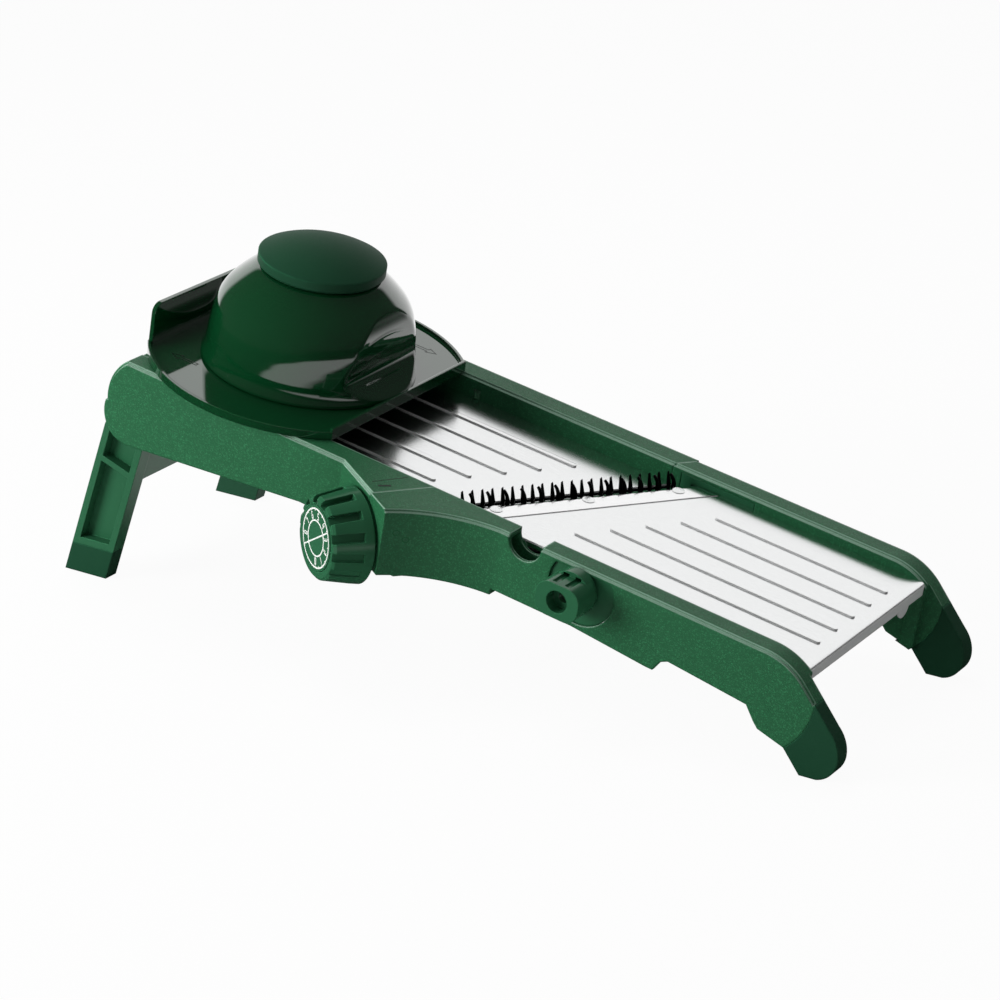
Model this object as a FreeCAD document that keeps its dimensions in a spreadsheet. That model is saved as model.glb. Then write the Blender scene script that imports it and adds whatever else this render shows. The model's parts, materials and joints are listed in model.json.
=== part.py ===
"""Mandoline slicer with a folding stand, a thickness dial, raised cutters and a food holder.

Most pieces are drawn in a bench frame and then tilted onto their feet:
x runs down the slope, y across it (the dial side is negative) and z square to the runway,
with z = 0 on top of the lower runway. Lengths are in millimetres and angles in degrees.
"""

import FreeCAD, Part
import math
import os
import re
import Sketcher

DIMENSIONS = {
    # stance
    "tilt": (10.34, "slope of the runway"),
    "bench_x": (-106.142, "bench origin from the middle of the footprint, along x"),
    "bench_y": (13.698, "bench origin from the middle of the footprint, along y"),
    "bench_z": (100.73, "height of the bench origin above the table"),
    "blade_angle": (30.0, "blade line away from square across"),
    # side rails
    "half_width": (65.0, "mid plane to the outer face of a lower rail"),
    "upper_half_width": (66.4, "mid plane to the outer face of an upper rail"),
    "runway_half": (54.4, "mid plane to the inner face of a rail"),
    "rail_top": (5.3, "rail top above the lower runway"),
    "rail_wall": (2.0, "outer wall"),
    "inner_wall": (1.6, "inner wall"),
    "strip_thick": (2.5, "top strip"),
    "rear_x": (-72.5, "operator's end of the rails"),
    "end_run": (9.5, "slope of the rail end"),
    "end_round": (26.0, "rounding of the rail end"),
    "end_z": (-18.0, "furthest point of the rail end"),
    "end_heel": (16.0, "rounding under the rail end"),
    "end_toe": (13.0, "underside of the rail end"),
    "rear_bottom": (-37.2, "lowest point of the rails at the operator's end"),
    "waist_x": (43.4, "where the taper of the upper rails ends"),
    "rail_bottom": (-24.9, "bottom of the rails"),
    "inner_skirt": (-13.0, "bottom of the inner walls"),
    "seam_w": (138.0, "diagonal seam between upper and lower rails"),
    "seam_gap": (0.2, "open seam between rail halves"),
    "ledge_width": (3.4, "runway ledge"),
    "ledge_thick": (2.5, "runway ledge"),
    "front_top_x": (287.0, "where the rail top starts to fall to the foot"),
    "front_fall": (30.3, "radius of the fall from the rail top"),
    "fall_x": (307.9, "where the fall turns straight"),
    "fall_z": (-3.0, "where the fall turns straight"),
    "shoulder_x": (314.6, "top of the front foot"),
    "shoulder_z": (-9.4, "top of the front foot"),
    "leg_x": (306.0, "front end of the full width of the rails"),
    "front_leg": (8.0, "width of the front legs and feet"),
    "rebate_width": (1.2, "step along the top edge of the rails"),
    "rebate_depth": (1.2, "step along the top edge of the rails"),
    "arch_rear_x": (239.6, "start of the arch in front of the step"),
    "arch_front_x": (283.5, "end of the arch"),
    "arch_z": (-20.6, "underside of the arch"),
    "arch_fall": (3.0, "fall of the arch to the front"),
    "step_run": (3.5, "length of the step in the underside"),
    "step_x": (233.0, "step before the arch"),
    "step_z": (-27.8, "underside of the step"),
    "heel_x": (291.0, "heel above the front foot"),
    "heel_z": (-32.5, "heel above the front foot"),
    "heel_soft": (2.7, "corner of the heel"),
    # front feet
    "foot_root_x": (304.6, "lower end of the joint with the rail"),
    "foot_root_z": (-35.6, "lower end of the joint with the rail"),
    "foot_joint": (35.0, "radius of the joint with the rail"),
    "foot_nose_x": (330.8, "furthest point of the foot"),
    "foot_nose_z": (-31.5, "height of the furthest point"),
    "foot_brow": (16.4, "radius above the nose"),
    "brow_x": (324.8, "where the front of the foot starts to round"),
    "brow_z": (-19.1, "where the front of the foot starts to round"),
    "foot_sole_front_x": (322.5, "front end of the sole"),
    "foot_sole_rear_x": (314.5, "rear end of the sole"),
    "foot_toe": (13.0, "radius under the nose"),
    # dial housing
    "crease_x": (64.0, "where the rail turns out to the dial"),
    "corner_x": (105.0, "outer corner of the housing"),
    "flare_end_x": (150.0, "where the flare meets the rail again"),
    "flare_radius": (68.0, "hollow side of the flare"),
    "housing_wall": (3.0, "wall behind the dial"),
    "housing_bottom": (-28.0, "underside of the housing"),
    "keel_x": (95.0, "lowest point of the keel"),
    "keel_z": (-41.0, "lowest point of the keel"),
    "keel_end_x": (126.0, "front end of the keel"),
    "notch_x": (163.5, "finger notch in the near rail"),
    "notch_radius": (8.6, "finger notch in the near rail"),
    "notch_z": (4.1, "centre of the finger notch"),
    # handle
    "handle_front_x": (-54.5, "front face of the cross handle"),
    "handle_rear_x": (-71.5, "rear face of the cross handle"),
    "handle_low": (-13.0, "underside of the cross handle"),
    "handle_top": (5.2, "top of the cross handle"),
    "handle_roll": (22.0, "rounding of the back of the handle"),
    # runways
    "sheet": (1.0, "steel sheet"),
    "runway_end_x": (305.0, "front end of the lower runway"),
    "runway_play": (0.3, "runway sheet to rail"),
    "lip_drop": (6.5, "turned-down lip"),
    "lip_bend": (1.8, "bend of the turned-down lip"),
    "tab_radius": (4.5, "locating tab under the lip"),
    "tab_y": (36.0, "locating tab under the lip"),
    "bead_pitch": (16.0, "ribs pressed in the runways"),
    "bead_width": (2.6, "ribs pressed in the runways"),
    "bead_rise": (0.7, "ribs pressed in the runways"),
    "bead_start_w": (189.5, "start of the lower ribs"),
    "bead_end_x": (295.8, "end of the lower ribs"),
    "deck_bead_end_w": (110.8, "end of the deck ribs"),
    "deck_bead_start_x": (-42.0, "start of the deck ribs"),
    # deck
    "slice_rest": (4.9, "slice thickness as set"),
    "slice_least": (0.0, "thinnest setting, deck level with the blade"),
    "slice_most": (8.0, "thickest setting"),
    "deck_rear_x": (-51.5, "rear end of the deck"),
    "deck_end_w": (139.5, "diagonal end of the deck"),
    "deck_play": (0.5, "deck to rail"),
    "carrier_thick": (4.0, "carrier under the deck"),
    "follower_drop": (2.2, "cam pads under the carrier"),
    "follower_size": (11.0, "cam pads"),
    "guide_pin_radius": (1.5, "deck guide pins"),
    "guide_rear_x": (-38.0, "rear guide pins"),
    "guide_front_x": (58.0, "front guide pins"),
    # dial
    "dial_x": (84.5, "centre of the dial on its face"),
    "dial_z": (-20.0, "height of the dial axis"),
    "dial_gap": (0.6, "dial to housing"),
    "dial_length": (20.0, "how far the dial stands out"),
    "dial_back": (22.6, "radius at the back"),
    "dial_front": (18.8, "radius at the front"),
    "dial_wall": (2.6, "shell of the dial"),
    "dial_hub": (7.0, "hub radius"),
    "flute_count": (14, "grip flutes"),
    "flute_half": (2.1, "half width of a grip flute"),
    "flute_depth": (1.5, "grip flutes"),
    "dial_band": (5.0, "plain band at the back of the dial"),
    "dial_step": (0.6, "small steps and chamfers of the dial"),
    "badge_radius": (15.2, "disc on the dial"),
    "badge_thick": (1.6, "disc on the dial"),
    "shaft_radius": (3.0, "dial shaft"),
    "turn_range": (270.0, "dial turn from thinnest to thickest"),
    "cam_thick": (6.0, "lift cams"),
    "cam_gap": (0.6, "cams to their pads"),
    "cam_near_y": (-27.0, "near cam"),
    "cam_far_y": (30.0, "far cam"),
    "bearing_depth": (6.0, "far end of the shaft in the far rail"),
    "bearing_wall": (4.5, "boss round the far end of the shaft"),
    "bush_wall": (1.8, "bush behind the dial"),
    "bush_flange": (1.6, "bush flange"),
    # blade
    "blade_w": (151.5, "cutting edge"),
    "blade_width": (14.4, "cutting edge to the back of the blade"),
    "blade_gap": (0.9, "blade to the lower runway"),
    "blade_thick": (1.2, "blade"),
    "blade_half": (52.6, "half length of the blade across the runway"),
    "edge_width": (3.2, "ground edge"),
    "edge_depth": (0.9, "ground edge"),
    "bar_inset": (3.5, "cutting edge to the front of the blade bar"),
    "bar_depth": (6.0, "blade bar"),
    "rivet_inset": (5.4, "cutting edge to the rivets"),
    "rivet_pitch": (41.4, "rivets across the runway"),
    "rivet_head": (3.0, "rivet head radius"),
    "rivet_shank": (1.6, "rivet shank radius"),
    "rivet_rise": (0.2, "rivet head above the blade"),
    "shelf_thick": (2.5, "shelf under each end of the blade bar"),
    "shelf_width": (4.6, "shelf under each end of the blade bar"),
    # cutters
    "cutter_rise": (4.8, "cutter tips above the lower runway"),
    "cutter_travel": (10.2, "drop of the cutters"),
    "cutter_thick": (0.8, "cutter blades"),
    "comb_half": (49.5, "half length of the cutter strips across the runway"),
    "comb_top": (-5.6, "top of the cutter strips"),
    "fine_w": (145.0, "fine strip"),
    "fine_pitch": (4.46, "fine teeth across the runway"),
    "fine_count": (22, "fine teeth"),
    "fry_w": (148.3, "wide strip"),
    "fry_pitch": (7.6, "wide fins across the runway"),
    "fry_count": (13, "wide fins"),
    "tooth_root": (4.0, "strip to the widest part of a fine tooth"),
    "tooth_lean": (1.2, "lean of the fine teeth up the slope"),
    "tooth_tip": (0.8, "tip of the fine teeth"),
    "fin_belly": (1.1, "bulge of the back of a wide fin"),
    "fin_waist": (-1.6, "where a wide fin leaves its strip"),
    "fin_back": (7.0, "rounding of the back of a wide fin"),
    "fin_hook": (1.9, "reach of the hook up the slope"),
    "fin_tip": (0.9, "tip of the hook"),
    "fin_hollow": (6.0, "hollow under the hook"),
    "strip_depth": (1.2, "cutter strips"),
    "carriage_top": (-16.0, "cutter carriage"),
    "carriage_thick": (3.0, "cutter carriage"),
    "carriage_end_x": (188.0, "front end of the carriage"),
    "guide_inset": (8.0, "cutting edge to the carriage guide pins"),
    "guide_y": (20.0, "carriage guide pins"),
    "guide_radius": (2.0, "carriage guide pins"),
    "guide_length": (26.0, "carriage guide pins"),
    # cutter knob
    "knob_x": (193.0, "knob axis"),
    "knob_z": (-6.0, "knob axis"),
    "knob_out": (82.0, "knob face from the mid plane"),
    "knob_length": (22.0, "grip of the knob"),
    "knob_height": (16.4, "grip of the knob"),
    "knob_round": (6.4, "corners of the grip"),
    "flange_radius": (10.6, "round foot of the knob"),
    "flange_thick": (6.0, "round foot of the knob"),
    "knob_hole": (5.3, "hollow in the knob face"),
    "knob_hole_depth": (6.0, "hollow in the knob face"),
    "knob_groove": (1.5, "half width of the grooves in the grip"),
    "knob_turn": (50.0, "turn of the knob"),
    "crank_radius": (2.6, "crank shaft"),
    "crank_end_y": (38.0, "inner end of the crank shaft"),
    "crank_start": (8.0, "droop of the crank arms at rest"),
    "crank_near_y": (-31.0, "near side of the near crank arm"),
    "crank_far_y": (2.0, "near side of the far crank arm"),
    "crank_thick": (4.0, "crank arms"),
    "crank_pin": (1.5, "crank pins"),
    "lug_thick": (3.0, "slotted lugs on the carriage"),
    "lug_play": (0.3, "lugs to the crank arms"),
    "slot_play": (1.1, "crank pin in its slot"),
    "plate_x": (195.0, "middle of the round plate behind the knob"),
    "plate_radius": (17.0, "round plate behind the knob"),
    "plate_thick": (1.4, "round plate behind the knob"),
    "plate_sink": (1.0, "round plate below the face of the rail"),
    # tie bars
    "tie_rear_x": (213.0, "rear tie bar"),
    "tie_front_x": (266.0, "front tie bar"),
    "tie_width": (12.0, "tie bars"),
    "tie_low": (-10.5, "underside of the tie bars"),
    "hanger_y": (33.0, "hanger for the crank shaft"),
    "hanger_x": (189.5, "hanger for the crank shaft"),
    "screw_radius": (1.6, "screws"),
    "screw_head": (3.1, "screws"),
    "screw_head_thick": (1.8, "screws"),
    "screw_length": (12.0, "screws"),
    "insert_start_x": (174.5, "insert in the far rail"),
    "insert_end_x": (214.5, "insert in the far rail"),
    "insert_low": (-9.0, "insert in the far rail"),
    "insert_depth": (6.0, "insert in the far rail"),
    # stand
    "pivot_x": (-59.6, "stand pivot"),
    "pivot_z": (-23.8, "stand pivot"),
    "lean": (20.0, "legs away from upright"),
    "leg_width": (24.0, "legs"),
    "leg_cap": (10.4, "round top of the legs"),
    "leg_play": (0.3, "legs in the rails"),
    "leg_foot": (15.2, "height of the soft feet"),
    "leg_panel": (5.2, "sunk panel in the legs"),
    "leg_frame": (3.6, "edge round the sunk panel"),
    "leg_rib": (29.0, "cross rib in the panel below the pivot"),
    "rib_half": (1.5, "half height of the cross rib"),
    "brace_drop": (33.4, "cross bar below the pivot"),
    "brace_tall": (16.8, "cross bar"),
    "brace_deep": (8.0, "cross bar"),
    "pin_radius": (3.0, "stand pins"),
    "ear_radius": (7.5, "ears for the stand pins"),
    # clearances
    "fit": (0.05, "running fit of pins and shafts"),
    "play": (0.2, "play between parts at rest"),
    "room": (0.3, "room between moving parts"),
    "bite": (0.5, "how far one feature of a piece reaches into the next"),
    # food holder
    "holder_x": (-5.0, "middle of the food holder"),
    "holder_radius": (77.2, "round sides of the holder plate"),
    "holder_front": (54.2, "middle to the front edge"),
    "holder_rear": (61.2, "middle to the rear edge"),
    "holder_gap": (0.3, "holder plate above the rails"),
    "holder_plate": (2.4, "holder plate"),
    "rim_width": (1.5, "rim of the holder plate"),
    "rim_rise": (1.6, "rim of the holder plate"),
    "lip_rise": (3.2, "front lip above the holder plate"),
    "lip_half": (55.0, "half length of the front lip"),
    "back_rise": (21.0, "rear wall above the plate"),
    "back_half": (46.8, "half length of the rear wall"),
    "back_thick": (2.2, "rear wall"),
    "back_round": (5.0, "corners of the rear wall"),
    "runner_width": (2.4, "runners under the holder"),
    "runner_low": (0.9, "underside of the runners"),
    "runner_play": (0.6, "runners to the rails"),
    "runner_half": (46.0, "half length of the runners"),
    "mouth_radius": (45.0, "opening under the dome"),
    "collar_radius": (51.8, "foot of the dome"),
    "collar_rise": (8.0, "flared foot of the dome"),
    "collar_edge": (2.0, "upright edge of the flared foot"),
    "collar_hollow": (9.0, "rounding of the flared foot"),
    "dome_radius": (50.2, "dome above its flared foot"),
    "dome_bulge": (80.0, "rounding of the side of the dome"),
    "knee_z": (36.5, "where the side of the dome turns in"),
    "knee_radius": (47.6, "dome where its side turns in"),
    "shoulder_bulge": (50.0, "rounding of the shoulder of the dome"),
    "dome_top": (56.8, "top of the dome"),
    "dome_top_radius": (29.5, "top of the dome"),
    "dome_wall": (2.4, "dome wall"),
    "tube_radius": (11.0, "guide tube in the dome"),
    "tube_length": (12.0, "guide tube in the dome"),
    "scoop_foot": (40.8, "finger scoops from the middle, at the plate"),
    "scoop_head": (39.0, "finger scoops from the middle, at the shoulder"),
    "scoop_sill": (1.2, "foot of the finger scoops above the plate"),
    "screw_bite": (5.0, "screws in the dome"),
    "dome_screw_ring": (48.6, "screws under the dome"),
    # plunger
    "stem_radius": (8.0, "plunger stem"),
    "cap_radius": (30.6, "cap"),
    "cap_gap": (0.4, "cap above the dome"),
    "cap_edge": (5.2, "edge of the cap"),
    "cap_crown": (70.1, "top of the cap"),
    "cap_skin": (3.0, "shell of the cap"),
    "pusher_radius": (33.0, "pusher disc"),
    "pusher_top": (20.5, "pusher disc"),
    "pusher_thick": (3.0, "pusher disc"),
    "prong_radius": (0.9, "food pins"),
    "prong_low": (11.5, "tips of the food pins"),
    "prong_ring": (24.0, "outer ring of food pins"),
    "prong_inner": (10.0, "inner ring of food pins"),
    "prong_count": (8, "food pins in the outer ring"),
}

# sizes that follow from the driving ones
DERIVED = {
    "slope": "tan(blade_angle)",
    "chan_out": "half_width - rail_wall",
    "chan_in": "runway_half + inner_wall",
    "upper_chan_out": "upper_half_width - rail_wall",
    "strip_low": "rail_top - strip_thick",
    "face_y": "-upper_half_width - (dial_x - crease_x) * slope",
    "corner_y": "-upper_half_width - (corner_x - crease_x) * slope",
    "dial_w": "dial_x - slope * face_y",
    "blade_end_w": "blade_w + blade_width",
    "runway_start_w": "blade_end_w + blade_gap",
    "bar_w": "blade_w + bar_inset",
    "rivet_w": "blade_w + rivet_inset",
    "guide_w": "blade_w + guide_inset",
    "face_seam_x": "crease_x + (seam_w - crease_x - slope * upper_half_width) / (1 + slope * slope)",
    "face_seam_y": "-upper_half_width - (face_seam_x - crease_x) * slope",
    "deck_top": "-slice_rest",
    "deck_low": "deck_top - sheet",
    "carrier_low": "deck_low - carrier_thick",
    "pad_low": "carrier_low - follower_drop",
    "cam_rest": "pad_low - cam_gap - dial_z",
    "cam_most": "cam_rest + slice_rest - slice_least",
    "cam_least": "cam_rest - slice_most + slice_rest",
    "deck_half": "runway_half - deck_play",
    "guide_z": "deck_low - carrier_thick / 2",
    "bar_low": "-blade_thick - bar_depth",
    "sheet_half": "runway_half - runway_play",
    "plate_low": "rail_top + holder_gap",
    "plate_top": "plate_low + holder_plate",
    "collar_top": "plate_top + collar_rise",
    "cap_low": "dome_top + cap_gap",
    "leg_out": "upper_chan_out - leg_play",
    "leg_in": "chan_in + leg_play",
    "pivot_height": "bench_z - pivot_x * sin(tilt) + pivot_z * cos(tilt)",
    "sole_front_z": "(foot_sole_front_x * sin(tilt) - bench_z) / cos(tilt)",
    "sole_rear_z": "(foot_sole_rear_x * sin(tilt) - bench_z) / cos(tilt)",
    "ledge_in": "runway_half - ledge_width",
    "crank_arm": "cutter_travel / (sin(crank_start + knob_turn) - sin(crank_start))",
    "crank_drop": "crank_arm * sin(crank_start)",
    "crank_reach": "crank_arm * cos(crank_start)",
    "lug_z": "knob_z - crank_drop",
    "plate_face": "-half_width + plate_sink",
    "plate_rise": "strip_low - knob_z",
    "tie_screw_z": "(tie_low - sheet - ledge_thick) / 2",
    "bush_radius": "shaft_radius + fit + bush_wall",
    "bush_depth": "2.4 * housing_wall",
    "shaft_far": "(runway_half - face_y) / cos(blade_angle) + bearing_depth",
    "crown_rise": "cap_crown - cap_low - cap_edge",
}

doc = FreeCAD.newDocument("mandoline_slicer")
sizes = doc.addObject("Spreadsheet::Sheet", "sizes")
for row, (alias, (number, note)) in enumerate(DIMENSIONS.items(), start=1):
    sizes.set(f"A{row}", str(number))
    sizes.setAlias(f"A{row}", alias)
    sizes.set(f"B{row}", note)
doc.recompute()

subparts = []


def bound(text):
    """An expression on the sheet's cells, from one written with plain names."""
    def spell(match):
        word = match.group(0)
        if word in DIMENSIONS:
            return "sizes." + word
        if word in DERIVED:
            return "(" + bound(DERIVED[word]) + ")"
        return word
    return re.sub(r"[A-Za-z_]\w*", spell, str(text))


def value(text):
    """The number that an expression comes to."""
    return float(sizes.evalExpression(bound(text)))


def bind(obj, prop, text):
    obj.setExpression(prop, bound(text))


BENCH = FreeCAD.Placement(
    FreeCAD.Vector(value("bench_x"), value("bench_y"), value("bench_z")),
    FreeCAD.Rotation(FreeCAD.Vector(0, 1, 0), value("tilt")))

# the dial's own frame: its face at z = 0, outwards along z, with y square to the runway
DIAL = BENCH.multiply(FreeCAD.Placement(
    FreeCAD.Vector(value("dial_x"), value("face_y"), value("dial_z")),
    FreeCAD.Rotation(FreeCAD.Vector(0, 0, 1), -value("blade_angle")).multiply(
        FreeCAD.Rotation(FreeCAD.Vector(1, 0, 0), 90))))

# the stand's own frame: its pivot at the origin, up the legs along z
STAND = FreeCAD.Placement(
    BENCH.multVec(FreeCAD.Vector(value("pivot_x"), 0, value("pivot_z"))),
    FreeCAD.Rotation(FreeCAD.Vector(0, 1, 0), value("lean")))


def keep(obj, label, placement=BENCH):
    """Name a finished sub-part and set it in place."""
    obj.Label = label
    obj.Placement = placement
    subparts.append(obj)


def new_body(label, placement=BENCH):
    body = doc.addObject("PartDesign::Body", label)
    keep(body, label, placement)
    return body


def plane_of(body, role):
    return next(item for item in body.Origin.OriginFeatures if item.Role == role + "_Plane")


def pin_point(sketch, geometry, position, x, y):
    """Hold a point of a sketch at bound coordinates."""
    for kind, text in (("DistanceX", x), ("DistanceY", y)):
        index = sketch.addConstraint(
            Sketcher.Constraint(kind, -1, 1, geometry, position, value(text)))
        bind(sketch, f"Constraints[{index}]", text)


def pin_radius(sketch, geometry, radius):
    index = sketch.addConstraint(Sketcher.Constraint("Radius", geometry, value(radius)))
    bind(sketch, f"Constraints[{index}]", radius)


def draw_circle(sketch, x, y, radius):
    centre = FreeCAD.Vector(value(x), value(y), 0)
    index = sketch.addGeometry(Part.Circle(centre, FreeCAD.Vector(0, 0, 1), value(radius)), False)
    pin_point(sketch, index, 3, x, y)
    pin_radius(sketch, index, radius)


def arc_between(start, end, radius):
    """The short arc from start to end; it turns left for a positive radius."""
    chord = end - start
    lift = math.sqrt(max(radius * radius - chord.Length ** 2 / 4, 0))
    left = FreeCAD.Vector(-chord.y, chord.x, 0) / chord.Length
    centre = (start + end) / 2 + left * math.copysign(lift, radius)
    first, last = (start, end) if radius > 0 else (end, start)
    angles = [math.atan2(point.y - centre.y, point.x - centre.x) for point in (first, last)]
    circle = Part.Circle(centre, FreeCAD.Vector(0, 0, 1), abs(radius))
    return Part.ArcOfCircle(circle, angles[0], angles[1])


def draw_loop(sketch, corners):
    """A closed outline; a corner's third entry is the radius of the side that leaves it."""
    points = [FreeCAD.Vector(value(corner[0]), value(corner[1]), 0) for corner in corners]
    sides = []
    for place, corner in enumerate(corners):
        start, end = points[place], points[(place + 1) % len(points)]
        radius = value(corner[2]) if len(corner) > 2 else 0
        shape = arc_between(start, end, radius) if radius else Part.LineSegment(start, end)
        index = sketch.addGeometry(shape, False)
        sides.append((index, 2, 1) if radius < 0 else (index, 1, 2))
        if radius:
            pin_radius(sketch, index, f"abs({corner[2]})")
    for place, corner in enumerate(corners):
        index, begin, finish = sides[place]
        after = sides[(place + 1) % len(sides)]
        sketch.addConstraint(Sketcher.Constraint("Coincident", index, finish, after[0], after[1]))
        pin_point(sketch, index, begin, corner[0], corner[1])


def sketch_on(body, plane, loops, offset):
    """A sketch on one of the body's own planes; a loop of three texts is a circle."""
    sketch = body.newObject("Sketcher::SketchObject", "outline")
    sketch.AttachmentSupport = [(plane_of(body, plane), "")]
    sketch.MapMode = "FlatFace"
    bind(sketch, "AttachmentOffset.Base.z", offset)
    for loop in loops:
        if isinstance(loop[0], str):
            draw_circle(sketch, *loop)
        else:
            draw_loop(sketch, loop)
    return sketch


def pad(body, plane, loops, low, high):
    """Material between two distances along the plane's axis."""
    offset = f"-({high})" if plane == "XZ" else low
    feature = body.newObject("PartDesign::Pad", "pad")
    feature.Profile = sketch_on(body, plane, loops, offset)
    bind(feature, "Length", f"({high}) - ({low})")
    doc.recompute()
    return feature


def pocket(body, plane, loops, low, high):
    """A cut between two distances along the plane's axis."""
    before = body.Shape.Volume
    offset = f"-({low})" if plane == "XZ" else high
    feature = body.newObject("PartDesign::Pocket", "pocket")
    feature.Profile = sketch_on(body, plane, loops, offset)
    bind(feature, "Length", f"({high}) - ({low})")
    doc.recompute()
    if body.Shape.Volume >= before:
        raise RuntimeError(f"a pocket of {body.Label} cuts nothing")
    return feature


def revolve(body, loops):
    """A full turn of an outline about z: its first numbers are radii and its second heights."""
    feature = body.newObject("PartDesign::Revolution", "turned")
    sketch = sketch_on(body, "XZ", loops, "0")
    feature.Profile = sketch
    feature.ReferenceAxis = (sketch, ["V_Axis"])
    feature.Angle = 360
    doc.recompute()
    return feature


def bevel_edges(body, size, wanted):
    """Bevel those edges of a body that a test picks."""
    tip = body.Tip
    names = [f"Edge{place}" for place, edge in enumerate(tip.Shape.Edges, start=1) if wanted(edge)]
    feature = body.newObject("PartDesign::Chamfer", "bevel")
    feature.Base = (tip, names)
    bind(feature, "Size", size)
    doc.recompute()
    return feature


def box_loop(x0, x1, y0, y1):
    return [(x0, y0), (x1, y0), (x1, y1), (x0, y1)]


def diagonal_loop(w0, w1, y0, y1):
    """A band parallel to the blade, between two cross distances."""
    return [(f"({w0}) + slope * ({y0})", y0), (f"({w1}) + slope * ({y0})", y0),
            (f"({w1}) + slope * ({y1})", y1), (f"({w0}) + slope * ({y1})", y1)]


def across(side, inner, outer):
    """The lower and upper y of something between two distances from the mid plane."""
    return (inner, outer) if side > 0 else (f"-({outer})", f"-({inner})")


def cylinder(name, radius, length, x, y, z, along="Z"):
    """A round bar from a point along one axis of the bench."""
    turn = {"Z": (FreeCAD.Vector(0, 0, 1), 0), "Y": (FreeCAD.Vector(1, 0, 0), -90),
            "X": (FreeCAD.Vector(0, 1, 0), 90)}[along]
    obj = doc.addObject("Part::Cylinder", name)
    bind(obj, "Radius", radius)
    bind(obj, "Height", length)
    obj.Placement = FreeCAD.Placement(FreeCAD.Vector(), FreeCAD.Rotation(*turn))
    for axis, text in zip("xyz", (x, y, z)):
        bind(obj, "Placement.Base." + axis, text)
    return obj


def fuse(name, shapes):
    obj = doc.addObject("Part::MultiFuse", name)
    obj.Shapes = shapes
    doc.recompute()
    return obj


def group(label, shapes):
    """Like pieces that share one node."""
    obj = doc.addObject("Part::Compound", label)
    obj.Links = shapes
    doc.recompute()
    keep(obj, label)


def upper_outline(end_x):
    """Side outline of an upper rail, from its rounded end to a given x."""
    return [("rear_x + end_run", "rail_top", "end_round"), ("rear_x", "end_z", "end_heel"),
            ("rear_x + end_toe / 2", "rear_bottom + 2"), ("rear_x + end_toe", "rear_bottom"),
            ("waist_x", "rail_bottom"), (end_x, "rail_bottom"), (end_x, "rail_top")]


def rebate_edge(body, side, half, loop):
    """Cut a step along the edge of a rail that faces the dial side."""
    low, high = f"-{half} - 1", f"-{half} + rebate_width"
    if side > 0:
        low, high = "runway_half - 1", "runway_half + rebate_width"
    pocket(body, "XZ", [loop], low, high)


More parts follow.
